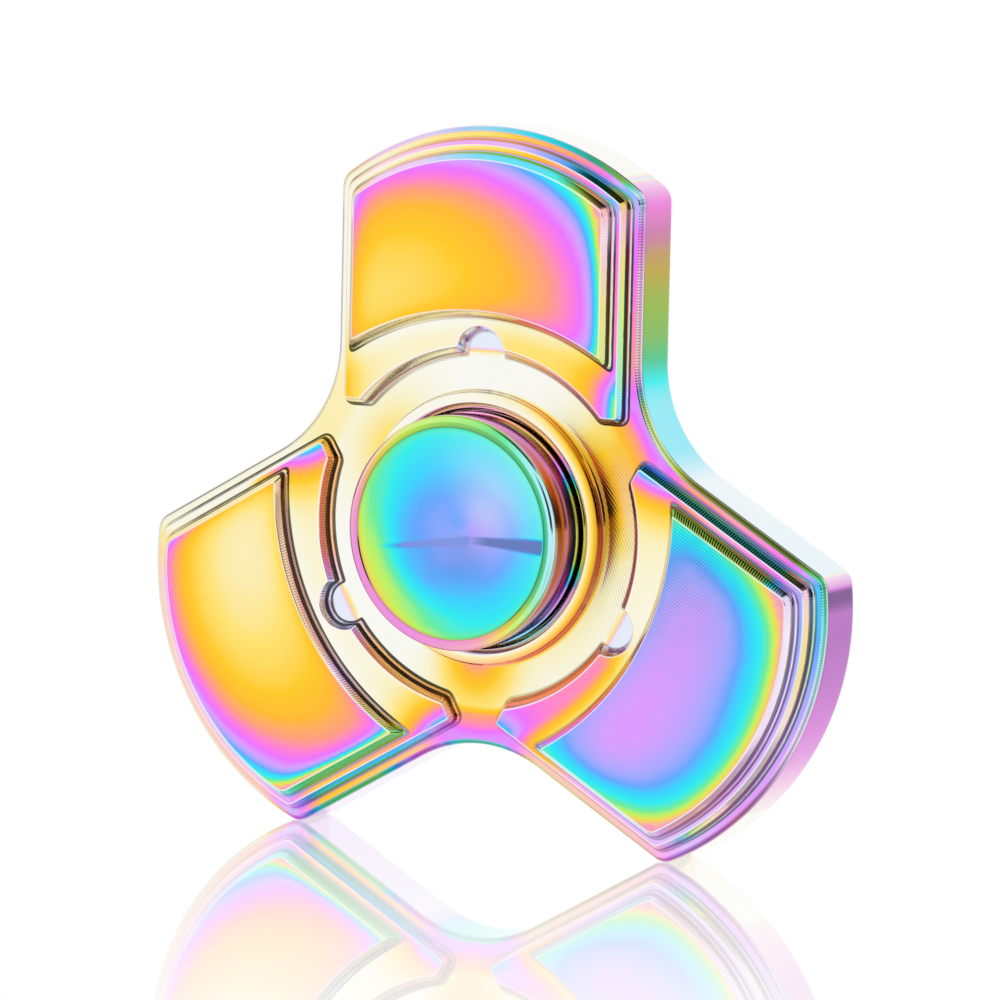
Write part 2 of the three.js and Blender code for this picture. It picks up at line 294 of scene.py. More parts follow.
TERRACE_STEPS = step_profile(TERRACE_SPREAD, RIM_HEIGHT, TERRACE_HEIGHT)
PANEL_STEPS = step_profile(PANEL_SPREAD, TERRACE_HEIGHT, PANEL_HEIGHT)

# ---------- mesh building ----------


class Shell:
    """Points in the plane of the face with a height, their faces and their values."""

    def __init__(self):
        self.points, self.values, self.faces = [], [], []
        self.count = 0

    def add(self, plane, height, film, *others):
        """Adds points and gives their numbers. `film` has the first four of VALUE_NAMES."""
        plane = np.asarray(plane, float)
        n = len(plane)
        others = [*others, *[0.0] * (len(VALUE_NAMES) - 4 - len(others))]
        height, *others = (np.broadcast_to(np.asarray(v, float), (n,)) for v in (height, *others))
        self.points.append(np.column_stack((plane, height)))
        self.values.append(np.column_stack((np.broadcast_to(film, (n, 4)), *others)))
        self.count += n
        return np.arange(self.count - n, self.count)

    def strip(self, a, b):
        """Joins two closed loops of the same length with four-sided faces."""
        self.faces += zip(a, np.roll(a, -1), np.roll(b, -1), b)

    def plane(self):
        return np.vstack(self.points)[:, :2]

    def fill(self, outer, holes, height, film, creases=()):
        """Fills a flat region, with extra points inside so that its values stay smooth.

        The region's triangles also keep to the creases, which are open lines of points.
        """
        plane = self.plane()
        loops = [plane[loop] for loop in (outer, *holes)]
        fixed = np.vstack((*loops, *creases))
        low, high = loops[0].min(axis=0), loops[0].max(axis=0)
        columns = np.arange(low[0], high[0], FLAT_GRID)
        rows = np.arange(low[1], high[1], FLAT_GRID * math.sqrt(0.75))
        grid = np.array([(x + (j % 2) * FLAT_GRID / 2, y) for j, y in enumerate(rows) for x in columns])
        grid = grid[within(grid, loops)]
        grid = grid[clearance(grid, fixed) > GRID_CLEARANCE]
        inner = np.vstack((*creases, grid))
        numbers = np.concatenate((outer, *holes, self.add(inner, height(inner), film(inner))))

        borders, folds, first = [], [], 0
        for loop in loops:
            n = len(loop)
            borders += [(first + i, first + (i + 1) % n) for i in range(n)]
            first += n
        for crease in creases:
            folds += [(first + i, first + i + 1) for i in range(len(crease) - 1)]
            first += len(crease)
        flat = [Vector(p) for p in np.vstack((fixed, grid))]
        coords, _, faces, sources, _, _ = delaunay_2d_cdt(flat, borders + folds, [], 0, FILL_TOLERANCE)
        triangles = [tuple(sources[i][0] for i in face) for face in faces]
        corners = np.array([[coords[i] for i in face] for face in faces])
        for group in regions(triangles, borders):
            # the region's largest triangle says whether it lies inside; outside, there may be slivers
            a, b, c = corners[group].transpose(1, 0, 2)
            areas = np.abs((b - a)[:, 0] * (c - a)[:, 1] - (b - a)[:, 1] * (c - a)[:, 0])
            largest = corners[group[int(areas.argmax())]].mean(axis=0)
            if areas.max() > SLIVER_AREA and within(largest[None], loops)[0]:
                self.faces += [tuple(numbers[i] for i in triangles[k]) for k in group]

    def arrays(self):
        return np.vstack(self.points), np.vstack(self.values), self.faces


def regions(triangles, borders):
    """Groups of triangles that touch along edges other than the borders."""
    closed = {frozenset(edge) for edge in borders}
    beside = {}
    for k, (a, b, c) in enumerate(triangles):
        for edge in (frozenset((a, b)), frozenset((b, c)), frozenset((c, a))):
            if edge not in closed:
                beside.setdefault(edge, []).append(k)
    neighbours = [[] for _ in triangles]
    for pair in beside.values():
        if len(pair) == 2:
            neighbours[pair[0]].append(pair[1])
            neighbours[pair[1]].append(pair[0])
    seen, groups = set(), []
    for start in range(len(triangles)):
        if start in seen:
            continue
        seen.add(start)
        group, queue = [], [start]
        while queue:
            k = queue.pop()
            group.append(k)
            fresh = [n for n in neighbours[k] if n not in seen]
            seen.update(fresh)
            queue += fresh
        groups.append(group)
    return groups


def within(points, loops):
    """Which points lie inside the first loop and outside the others."""
    inside = np.zeros(len(points), int)
    for k, loop in enumerate(loops):
        a, b = loop, np.roll(loop, -1, axis=0)
        crossings = np.zeros(len(points), int)
        for (ax, ay), (bx, by) in zip(a, b):
            if ay != by:
                spans = (ay > points[:, 1]) != (by > points[:, 1])
                x = ax + (points[:, 1] - ay) * (bx - ax) / (by - ay)
                crossings += spans & (points[:, 0] < x)
        odd = crossings % 2
        inside += odd if k == 0 else -odd
    return inside == 1


def clearance(points, others):
    """Each point's distance from the nearest of the others."""
    nearest = np.full(len(points), np.inf)
    for start in range(0, len(others), BLOCK):
        block = others[start:start + BLOCK]
        gaps = np.hypot(points[:, None, 0] - block[None, :, 0], points[:, None, 1] - block[None, :, 1])
        nearest = np.minimum(nearest, gaps.min(axis=1))
    return nearest


def along(loop):
    """Distance round a closed loop to each of its points."""
    steps = np.hypot(*(np.roll(loop, -1, axis=0) - loop).T)
    return np.concatenate(([0.0], np.cumsum(steps)[:-1]))


def ramp(x, low, high):
    """0 below low, 1 above high, smooth between."""
    t = np.clip((x - low) / (high - low), 0, 1)
    return t * t * (3 - 2 * t)


def within_span(x, low, full, fading, high):
    """0 below low, 1 from full to fading, and 0 again above high."""
    return ramp(x, low, full) * (1 - ramp(x, fading, high))


def fade_in(x, start, end):
    """0 at the start, 1 at the end, which may be the lower of the two."""
    return ramp(x, start, end) if start < end else 1 - ramp(x, end, start)


def blend(film, other, share):
    """Film rows, moved by a share towards other rows or one other row."""
    return film + (np.asarray(other) - film) * np.reshape(share, (-1, 1))


# ---------- the coat: film thickness and paleness at each point, where the paleness is painted light (a painted highlight above 0, painted shade below 0), and where its milling shows ---

VALUE_NAMES = ("coat", "painted_light", "mill", "milled", "rib", "ribbed", "rise", "painted_lines")
LOBE_MIDDLE = (0.0, 16.0)         # walls face away from here
HUB_VIEW = 9.0                    # beside the hub they face a point this far from them
HUB_SIDE_FADE = (9.6, 10.8)       # across the lobe, where one gives way to the other
HUB_SIDE_RADIUS = PANEL_ARC_RADIUS + 0.2

# Each band round a lobe: (the direction it faces in degrees, film thickness, paleness). The paleness is
# painted light: above 0 it pales the film as a painted highlight, below 0 it darkens it as painted shade.
# The edge lines have a strength in place of the thickness; they are painted reflection lines on the
# chamfer.
# A lobe points to 90 degrees, its right side faces 0 and its side towards the hub 270.
BANDS = (
    {   # upper lobe
        "painted edge lines": ((-40, .3, 0), (30, .3, 0), (50, .1, 0), (130, .1, 0), (150, .7, 0), (200, .7, 0)),
        "side": ((-24, .79, -.1), (-14, .82, -.3), (-4, .87, -.42), (10, .91, -.45), (22, .96, -.42),
            (28, 1.04, -.3), (34, 1.08, 0), (42, 1.08, .6), (45, .03, .8), (90, 0, .8), (102, .70, .6),
            (135, .70, .4), (150, .10, 0), (200, .10, 0)),
        "chamfer": ((-20, .40, .5), (0, .46, .6), (15, .50, .5), (28, .52, .05), (38, .77, .6),
            (44, .88, -.4), (55, .82, -.5), (66, .79, -.2), (80, .77, .1), (95, .75, .4), (112, .62, .6),
            (132, .50, .6), (146, .05, .3), (152, 0, -.35), (200, 0, -.35)),
        "rim": ((-20, .42, 0), (0, .46, 0), (30, .58, 0), (40, .72, .2), (50, .48, 0), (62, .40, 0),
            (75, .33, .1), (90, .16, 0), (110, .13, 0), (132, .08, .3), (150, .04, .2), (200, .04, .2)),
        "low wall": ((-20, .84, .3), (0, .89, .2), (22, .93, .2), (32, 1.0, .4), (40, .93, -.2),
            (46, .80, 0), (55, .74, 0), (68, .68, .05), (82, .60, .3), (100, .54, .3), (132, .46, .6),
            (146, .05, .3), (150, .05, -.6), (200, .05, -.6), (212, .05, .2), (270, .10, .3)),
        "terrace": ((-20, .46, 0), (0, .47, 0), (30, .50, 0), (40, .72, .1), (50, .48, 0), (62, .39, 0),
            (76, .22, 0), (92, .16, 0), (110, .11, 0), (132, .07, .2), (150, .04, .1), (200, .04, .1)),
        "high wall": ((-20, .90, .2), (5, .93, .2), (22, .98, .4), (32, 1.03, .7), (40, .98, 0),
            (46, .92, 0), (55, .82, 0), (66, .76, .1), (78, .77, .1), (92, .755, .2), (104, .73, .45),
            (114, .60, .5), (132, .53, .6), (146, .12, .1), (150, .12, -.6), (200, .12, -.6),
            (212, .12, .1), (270, .12, .2)),
    },
    {   # lower left lobe
        "painted edge lines": ((-40, .7, 0), (30, .7, 0), (50, .25, 0), (130, .2, 0), (150, .4, 0), (200, .4, 0)),
        "side": ((-20, .05, .3), (90, .05, .5), (150, .60, .7), (200, .62, .8)),
        "chamfer": ((-20, .03, .2), (35, .03, .2), (50, .06, .3), (130, .08, .3), (142, .55, 0),
            (152, .84, 0), (175, .87, 0), (200, .34, 0)),
        "rim": ((-20, .05, .2), (35, .05, .1), (50, .38, .5), (90, .40, .5), (130, .42, .4), (142, .66, .2),
            (152, .27, 0), (175, .28, .1), (200, .40, .3)),
        "low wall": ((-20, .04, .2), (35, .04, .2), (50, .38, .5), (130, .38, .4), (142, .60, .1),
            (152, .77, -.1), (175, .76, -.1), (200, .72, .1), (218, .30, .1), (245, .36, .2),
            (262, .62, .8), (278, .60, .8), (295, .40, .1), (325, .36, 0)),
        "terrace": ((-20, .04, .1), (35, .06, .1), (50, .45, .5), (130, .48, .5), (142, .60, .2),
            (152, .28, .1), (175, .36, .1), (200, .44, .1)),
        "high wall": ((-20, .12, .1), (35, .12, .1), (42, .22, 0), (50, .51, 0), (62, .53, .1),
            (80, .56, .3), (95, .61, .4), (110, .67, .5), (122, .72, .5), (135, .76, .5), (150, .85, -.1),
            (200, .86, -.1), (215, .91, 0), (232, .94, .2), (240, .96, .9), (241, .02, .9), (254, .13, .2),
            (300, .13, .2)),
    },
    {   # lower right lobe
        "painted edge lines": ((-40, .4, 0), (30, .4, 0), (50, .5, 0), (130, .4, 0), (150, .6, 0), (200, .6, 0)),
        "side": ((-20, .30, .3), (50, .02, .4), (66, .04, .75), (67, 1.0, .75), (78, 1.06, .45),
            (90, 1.10, .10), (110, 1.11, -.15), (128, 1.12, -.25), (134, 1.12, -.2), (137, 1.13, -.6),
            (140, 1.13, -.6), (141, 1.10, .2), (144, 1.08, .7), (145, .75, .85), (200, .75, .9)),
        "chamfer": ((-20, .09, .2), (32, .40, .4), (42, .62, .1), (50, .60, .1), (64, .49, .2),
            (80, .57, .3), (95, .60, .7), (112, .76, .6), (130, .80, .25), (142, .82, .1), (152, .90, -.75),
            (200, .93, -.6)),
        "rim": ((-20, .40, .4), (32, .45, .4), (45, .62, .3), (65, .59, .1), (90, .63, 0), (112, .67, 0),
            (132, .73, 0), (142, .73, 0), (152, .51, 0), (172, .45, .1), (200, .40, 0)),
        "low wall": ((-20, .40, .6), (35, .40, .5), (50, .89, .3), (62, .98, .5), (78, 1.02, .7),
            (92, 1.01, .75), (104, .97, .55), (116, .94, .3), (130, .95, .3), (138, .99, .5),
            (142, 1.02, .5), (152, .80, -.15), (200, .82, -.15), (270, .30, .1)),
        "terrace": ((-20, .45, .4), (35, .60, .3), (50, .64, .3), (65, .57, .3), (80, .62, .1),
            (95, .64, .1), (112, .66, 0), (132, .69, 0), (142, .66, 0), (152, .50, 0), (175, .46, .25),
            (200, .47, .2)),
        "high wall": ((-20, .79, .55), (30, .80, .7), (45, .47, .4), (58, .43, .4), (72, .50, .5),
            (86, .54, .7), (110, .55, .8), (132, .55, .85), (142, .62, .6), (152, .90, -.45),
            (200, .88, -.45), (222, .20, .1), (270, .20, .1)),
    },
)

# The web after each lobe, going round to the left: its side's and chamfer's film and paleness (painted
# light), its edge lines' strength, and the film on its top at four radii.
WEBS = (
    {"side": (.12, .2), "chamfer": (.10, .15), "painted edge lines": (.5, 0), "top": (.05, .10, .10, .10)},
    {"side": (.80, .2), "chamfer": (.81, .1), "painted edge lines": (.4, 0), "top": (.15, .41, .46, .60)},
    {"side": (.77, .3), "chamfer": (.90, .3), "painted edge lines": (.4, 0), "top": (.32, .35, .44, .60)},
)
WEB_RADII = (13.4, 14.2, 15.0, 15.7)

# Glows on the hub's floor: direction, spread in degrees, film beside the collar and at the floor's edge.
HUB_GLOWS = ((20, 24, .36, .30), (268, 16, .42, .16), (145, 24, .18, .05), (320, 40, .11, .02))

# A panel's film: in the middle, its rise to each edge as (film, reach in mm), and its slopes.
PANEL_FILMS = (
    {"middle": .20, "right": (.33, .90), "left": (.19, .85), "crown": (.50, 3.9), "hub": (.10, .90),
     "across": .175, "outward": -.04},
    {"middle": .03, "right": (.17, .50), "left": (.44, .50), "crown": (.72, 3.7), "hub": (.09, .60),
     "across": -.18, "outward": -.14},
    {"middle": .56, "right": (.30, 2.3), "left": (.28, 2.8), "crown": (.19, .93), "hub": (.31, 4.0),
     "across": -.01, "outward": .22},
)

# The ledge between a panel and the hub: its film's rise to both ends as (film, reach in mm), and between
# them its film beside the hub and beside the panel.
LEDGE_FILMS = (
    {"left": (.25, 1.4), "right": (.80, 1.9), "left base": (.07, .01), "right base": (.15, .07)},
    {"left": (.75, 1.7), "right": (.80, 1.8), "left base": (.04, .01), "right base": (.05, .02)},
    {"left": (.75, 1.7), "right": (.30, 1.5), "left base": (.05, .04), "right base": (.46, .16)},
)

# The notch's wall and floor: film thickness and a high paleness, a painted highlight.
NOTCH_WALL_FILM = (0.66, 0.70)
NOTCH_FLOOR_FILM = (0.71, 0.82)
NOTCH_START = (13.0, 13.5)        # along the lobe
NOTCH_WALL_REACH = (NOTCH_TOP + 0.05, NOTCH_TOP + 0.35)
NOTCH_FLOOR_REACH = (NOTCH_FOOT + 0.05, NOTCH_TOP + 0.05)
TERRACE_STRIP = (17.5, 21.0)      # from here out, the terrace has its band's film
STRIP_SLANT = 0.35                # and further in beside the lobe's sides
LEDGE_TURN = (-2, 3)              # across the lobe, from the left film to the right one
LEDGE_FADE = (9.5, 14.5)
LEDGE_LOSS = 0.45
LEDGE_RADII = (18.6, 20.2)        # from the panel's arc centre
WEB_END = (9.5, 13.5)             # along a lobe, where its bands take over from the web's
HUB_FILM_RADII = (10.2, 13.4)
HUB_EDGE = (HUB_TOP - 0.35, HUB_TOP + 0.25)
# Painted light on the hub's floor, a painted shadow beside the collar and a paler ring further out:
# direction, spread in degrees, radii where it fades in, paleness.
HUB_PAINTED_SHADOW_AND_PALE_RING = ((10, 28, (12.2, 10.6), -0.50), (5, 18, (11.4, 12.6), 0.35))
HUB_MILLING = (8, 34, 0.75)       # direction, spread, strength
HUB_MILLING_LEAST = 0.10
HUB_MILL_CENTRE = (-4.0, -9.0)    # the cutter's arcs run round these points
PANEL_MILL_CENTRE = (36.0, 14.0)
PANEL_MILLING = (0.06, 0.06, 0.9)
PANEL_MILLED_ACROSS = (-3, 7)     # where the milling fades in, towards the left side
PANEL_MILLED_OUTWARD = (17, 25)   # and where it fades out
PANEL_SLOPE_REACH = (10, 6)       # a film's slopes are given over these lengths
PANEL_MIDDLE = 22


def by_direction(stops, degrees):
    """The values between stops of (direction, value, ...), one row for each direction."""
    places, *columns = zip(*stops)
    return np.column_stack([np.interp(degrees, places, values, period=360) for values in columns])


def glow(degrees, middle, spread):
    """1 in the middle direction, falling off over the spread."""
    away = (degrees - middle + 180) % 360 - 180
    return np.exp(-(away / spread) ** 2)


def lobe_plane(points, lobe):
    return turn(points, -lobe * 360 / LOBE_COUNT)


def distance(points, centre=(0.0, 0.0)):
    return np.hypot(*(np.asarray(points) - centre).T)


def direction(points, centre=(0.0, 0.0)):
    x, y = (np.asarray(points) - centre).T
    return np.degrees(np.arctan2(y, x))


def facing(points, lobe):
    """The direction that a lobe's walls face, in its own degrees."""
    local = lobe_plane(points, lobe)
    x = local[:, 0]
    outwards = direction(local, LOBE_MIDDLE) % 360
    hubwards = 270 + np.degrees(np.arctan2(x, HUB_VIEW))
    on_hub_side = distance(local, PANEL_ARC_MIDDLE) < HUB_SIDE_RADIUS
    share = on_hub_side * (1 - ramp(np.abs(x), *HUB_SIDE_FADE))
    return outwards + (hubwards - outwards) * share


def band(name, points, lobe):
    film = by_direction(BANDS[lobe][name], facing(points, lobe))
    if name == "low wall":
        away = distance(lobe_plane(points, lobe), (0, NOTCH_CENTRE))
        film = blend(film, NOTCH_WALL_FILM, 1 - ramp(away, *NOTCH_WALL_REACH))
    return film


def around(name, points):
    """A band that goes on from the lobes over the webs."""
    lobes_round = (direction(points) - 90) / (360 / LOBE_COUNT)
    lobe, web = (rounding(lobes_round).astype(int) % LOBE_COUNT for rounding in (np.round, np.floor))
    if name == "rim":
        tops = np.array([np.interp(distance(points), WEB_RADII, w["top"]) for w in WEBS])
        film = np.column_stack((tops[web, np.arange(len(points))], np.zeros(len(points))))
    else:
        film = np.array([w[name] for w in WEBS])[web]
    for k in range(LOBE_COUNT):
        chosen = lobe == k
        share = ramp(lobe_plane(points[chosen], k)[:, 1], *WEB_END)
        film[chosen] = blend(film[chosen], band(name, points[chosen], k), share)
    return film


# How deep the cutter's ribs are: (direction from the lobe's middle in degrees, strength).
RIB_STRENGTHS = (
    ((-40, .25), (30, .25), (44, .1), (136, .1), (150, .3), (200, .3), (230, .15), (310, .15)),
    ((-40, .4), (30, .4), (44, .1), (136, .1), (150, .3), (200, .3), (225, 1), (315, 1)),
    ((-40, .3), (30, .3), (44, .1), (136, .1), (150, 1), (200, 1), (230, .3), (310, .3)),
)

# Painted reflections: thin dark and light lines along a wall, with a painted highlight along its top edge:
# from, to as shares of its rise, brightness, how far they cover.
PAINTED_REFLECTION_LINES = (
    (-0.10, 0.07, 0.01, 0.95),
    (0.10, 0.21, 0.97, 0.85),
    (0.24, 0.64, 0.01, 0.97),
    (0.95, 1.20, 0.95, 0.70),
)

# How strong the painted reflection lines are: (direction from the lobe's middle in degrees, strength).
PAINTED_LINE_STRENGTHS = (
    ((-40, .95), (25, .95), (40, .3), (60, .15), (130, .15), (148, .95), (215, .95), (235, .25),
     (305, .25)),
    ((-40, .9), (25, .9), (40, .2), (135, .1), (150, .2), (195, .2), (225, 1), (320, 1)),
    ((-40, .3), (25, .3), (50, .6), (75, .8), (130, .7), (150, .4), (200, .4), (230, .35), (305, .35)),
)

# Shares of a wall's rise: where its film and its ribs fade in and out, and where its top always has the
# painted reflection lines.
WALL_SPAN = (0.0, 0.05, 0.95, 1.0)
RIB_SPAN = (0.12, 0.3, 0.9, 0.97)
PAINTED_LINES_TOP = 0.8


def strength(stops, points, lobe):
    return by_direction(stops[lobe], facing(points, lobe))[:, 0]


def with_milling(film, mill=0.0, milled=0.0):
    """Film and paleness (painted highlight or painted shade), with the milling's place and strength added.
    """
    n = len(film)
    return np.column_stack((film, np.broadcast_to(mill, n), np.broadcast_to(milled, n)))


def rises(film, sides):
    """The sum of a film's rises to some sides, from the distance to each."""
    return sum(film[side][0] * np.exp(-np.maximum(away, 0) / film[side][1]) for side, away in sides.items())


def plain(coat):
    """A film with neither painted highlight nor painted shade."""
    return np.column_stack((np.clip(coat, 0, 1), 0 * coat))


def panel_film(points, lobe):
    local = lobe_plane(points, lobe)
    x, y = local.T
    half = LOBE_HALF_WIDTH - PANEL_FOOT_INSET - PANEL_SPREAD
    crown_radius = CROWN_RADIUS - PANEL_FOOT_INSET - PANEL_SPREAD
    film = PANEL_FILMS[lobe]
    across, outward = PANEL_SLOPE_REACH
    coat = film["middle"] + film["across"] * x / across + film["outward"] * (y - PANEL_MIDDLE) / outward
    coat = coat + rises(film, {
        "right": half - x,
        "left": half + x,
        "crown": crown_radius - distance(local, (0, TIP_RADIUS - CROWN_RADIUS)),
        "hub": distance(local, PANEL_ARC_MIDDLE) - PANEL_ARC_RADIUS,
    })
    milled = ramp(-x, *PANEL_MILLED_ACROSS) * (1 - ramp(y, *PANEL_MILLED_OUTWARD)) * PANEL_MILLING[lobe]
    return with_milling(plain(coat), distance(local, PANEL_MILL_CENTRE), milled)


def terrace_film(points, lobe):
    """The terrace's strip round the panel, and its ledge towards the hub."""
    local = lobe_plane(points, lobe)
    x, y = local.T
    half = LOBE_HALF_WIDTH - TERRACE_FOOT_INSET - TERRACE_SPREAD
    near_panel = ramp(distance(local, PANEL_ARC_MIDDLE), *LEDGE_RADII)
    film = LEDGE_FILMS[lobe]
    left, right = (by_hub + (by_panel - by_hub) * near_panel
                   for by_hub, by_panel in (film["left base"], film["right base"]))
    coat = left + (right - left) * ramp(x, *LEDGE_TURN)
    fading = 1 - LEDGE_LOSS * ramp(y, *LEDGE_FADE)
    ledge = plain(coat + fading * rises(film, {"left": half + x, "right": half - x}))
    strip = ramp(y + STRIP_SLANT * np.abs(x), *TERRACE_STRIP)
    return with_milling(blend(ledge, band("terrace", points, lobe), strip))


def hub_film(radius, degrees):
    outwards = np.clip(np.interp(radius, HUB_FILM_RADII, (0, 1)), 0, 1)
    coat = sum((inner + (outer - inner) * outwards) * glow(degrees, middle, spread)
               for middle, spread, inner, outer in HUB_GLOWS)
    # Paleness: a painted shadow beside the collar and a paler ring further out.
    painted_light = sum(amount * glow(degrees, middle, spread) * fade_in(radius, *radii)
               for middle, spread, radii, amount in HUB_PAINTED_SHADOW_AND_PALE_RING)
    return np.column_stack((coat, painted_light))


def floor_film(points):
    """The rim round the lobes, the webs and the hub's floor."""
    points = np.asarray(points, float)
    radius, degrees = distance(points), direction(points)
    on_hub = 1 - ramp(radius, *HUB_EDGE)
    film = blend(around("rim", points), hub_film(radius, degrees), on_hub)
    for lobe in range(LOBE_COUNT):
        local = lobe_plane(points, lobe)
        notch = 1 - ramp(distance(local, (0, NOTCH_CENTRE)), *NOTCH_FLOOR_REACH)
        film = blend(film, NOTCH_FLOOR_FILM, notch * ramp(local[:, 1], *NOTCH_START))
    middle, spread, most = HUB_MILLING
    milled = on_hub * (HUB_MILLING_LEAST + most * glow(degrees, middle, spread))
    return with_milling(film, distance(points, HUB_MILL_CENTRE), milled)


# Round the collar and on its lip: direction, film thickness, paleness. The paleness is painted light:
# painted shade on the collar's right side, a painted highlight elsewhere and on the lip.
COLLAR_FILM = ((-90, .44, .3), (-50, .42, -.1), (0, .38, -.35), (40, .33, -.2), (70, .12, .1),
               (100, .03, .2), (200, .03, .2))
COLLAR_LIP_FILM = ((-60, .05, .4), (0, .10, .3), (60, .06, .4), (180, .02, .5))
COLLAR_LIP_EDGE = (COLLAR_OUTER - 0.13, COLLAR_OUTER - 0.01)
COLLAR_FOOT = (HUB_HEIGHT, HUB_HEIGHT + 0.15)


def collar_film(points, height, _):
    film = floor_film(points)
    degrees = direction(points)
    on_lip = 1 - ramp(distance(points), *COLLAR_LIP_EDGE)
    collar = blend(by_direction(COLLAR_FILM, degrees), by_direction(COLLAR_LIP_FILM, degrees), on_lip)
    raised = ramp(height, *COLLAR_FOOT)
    film[:, :2] = blend(film[:, :2], collar, raised)
    film[:, 3] *= 1 - raised
    return film


def floor_height(points):
    """The hub's round floor lies a little below the rim."""
    radius = np.hypot(*points.T)
    rise = ramp(radius, HUB_TOP - FLOOR_STEP, HUB_TOP + FLOOR_STEP)
    return HUB_HEIGHT + (RIM_HEIGHT - HUB_HEIGHT) * rise


def floor_creases():
    """Both edges of the small step where the hub's floor meets the webs."""
    creases = []
    for lobe in range(LOBE_COUNT):
        middle = 90 + (lobe + 0.5) * 360 / LOBE_COUNT
        for radius in (HUB_TOP - FLOOR_STEP, HUB_TOP + FLOOR_STEP):
            section = arc((0, 0), radius, middle - CREASE_REACH, middle + CREASE_REACH, CREASE_STEPS)
            creases.append(section[0](np.linspace(0, 1, CREASE_STEPS)))
    return creases


def level(height, points):
    return np.full(len(points), height)


def wall(shell, plan, profile, lobe, band_name, below, above):
    """A step's wall round a lobe. Returns its lowest and highest loops."""
    rib = along(plan(profile[-1][0]))
    low, high = profile[0][1], profile[-1][1]
    loops = []
    for k, (offset, height) in enumerate(profile):
        plane = turn(plan(offset), lobe * 360 / LOBE_COUNT)
        rise = (height - low) / (high - low)
        drop = (1 - rise) * (floor_height(plane) - RIM_HEIGHT) if low < TERRACE_HEIGHT else 0
        film = (below if rise < 0.5 else above)(plane)
        film[:, :2] = blend(film[:, :2], band(band_name, plane, lobe), within_span(rise, *WALL_SPAN))
        ribbed = within_span(rise, *RIB_SPAN) * strength(RIB_STRENGTHS, plane, lobe)
        # How strongly the painted reflection lines show here.
        painted_lines = strength(PAINTED_LINE_STRENGTHS, plane, lobe) if rise < PAINTED_LINES_TOP else 1.0
        if k in (0, len(profile) - 1):
            painted_lines = 0.0
        loops.append(shell.add(plane, height + drop, film, rib, ribbed, rise, painted_lines))
        if k:
            shell.strip(loops[-2], loops[-1])
    return loops[0], loops[-1]


def rings(shell, profile, film, steps=RING_STEPS, closed=False):
    """Rings round the spin axis from a list of (radius, height). A radius of 0 makes a pole."""
    angles = np.linspace(0, 2 * math.pi, steps, endpoint=False)
    circle = np.column_stack((np.cos(angles), np.sin(angles)))
    loops = []
    for k, (radius, height) in enumerate(profile):
        if radius == 0:
            pole = shell.add([(0.0, 0.0)], height, film(np.zeros((1, 2)), height, k))
            loops.append(np.full(steps, pole[0]))
        else:
            loops.append(shell.add(circle * radius, height, film(circle * radius, height, k)))
        if k:
            a, b = loops[-2], loops[-1]
            if a[0] == a[1]:
                shell.faces += zip(a, np.roll(b, -1), b)
            elif b[0] == b[1]:
                shell.faces += zip(a, np.roll(a, -1), b)
            else:
                shell.strip(a, b)
    if closed:
        shell.strip(loops[-1], loops[0])
    return loops


def softened(corners, rounds):
    """A profile's corners, all but the first and the last, each rounded by its own (radius, steps)."""
    points = []
    for before, corner, after, (radius, steps) in zip(corners, corners[1:], corners[2:], rounds):
        points += list(fillet(before, corner, after, radius, steps))
    return points


def rounded(corners, radius, steps=4):
    """A profile through the corners, rounded alike at all but its two ends."""
    return [corners[0], *softened(corners, [(radius, steps)] * (len(corners) - 2)), corners[-1]]


def add_edge(shell):
    """The outer side and the chamfer, from the mid plane up to the rim. Returns the rim's loop."""
    edge, rim = (0.0, EDGE_HEIGHT), (RIM_INSET, RIM_HEIGHT)
    shoulder = fillet((0.0, 0.0), edge, rim, *CHAMFER_ROUND)
    brim = fillet(edge, rim, (RIM_INSET + 1, RIM_HEIGHT), *CHAMFER_ROUND)
    profile = [
        *((0.0, height) for height in OUTER_SIDE_HEIGHTS),
        *shoulder,
        *(shoulder[-1] + share * (brim[0] - shoulder[-1]) for share in CHAMFER_SHARES),
        *brim,
        (brim[-1][0] + GUARD, RIM_HEIGHT),
    ]
    rib = along(frame_outline(RIM_INSET))
    loops = []
    for inset, height in profile:
        plane = frame_outline(inset)
        film = floor_film(plane)
        chamfer = ramp(height, *CHAMFER_START)
        on_edge = 1 - ramp(inset, *CHAMFER_END)
        edge_film = blend(around("side", plane), around("chamfer", plane), chamfer)
        film[:, :2] = blend(film[:, :2], edge_film, on_edge)
        ribbed = CHAMFER_RIBBED * ramp(height, *CHAMFER_RIB_START) * on_edge
        rise = (height - EDGE_HEIGHT) / (RIM_HEIGHT - EDGE_HEIGHT)
        # The painted reflection lines on the chamfer.
        painted_lines = on_edge * chamfer * around("painted edge lines", plane)[:, 0]
        loops.append(shell.add(plane, height, film, rib, ribbed, rise, painted_lines))
        if len(loops) > 1:
            shell.strip(loops[-2], loops[-1])
    return loops[-1]


def add_lobe(shell, lobe):
    """A lobe's terrace and panel. Returns the loop at the terrace's foot."""
    terrace, panel = partial(terrace_film, lobe=lobe), partial(panel_film, lobe=lobe)
    foot, top = wall(shell, terrace_outline, TERRACE_STEPS, lobe, "low wall", floor_film, terrace)
    panel_foot, panel_top = wall(shell, panel_outline, PANEL_STEPS, lobe, "high wall", terrace, panel)
    shell.fill(top, [panel_foot], partial(level, TERRACE_HEIGHT), terrace)
    shell.fill(panel_top, [], partial(level, PANEL_HEIGHT), panel)
    return foot


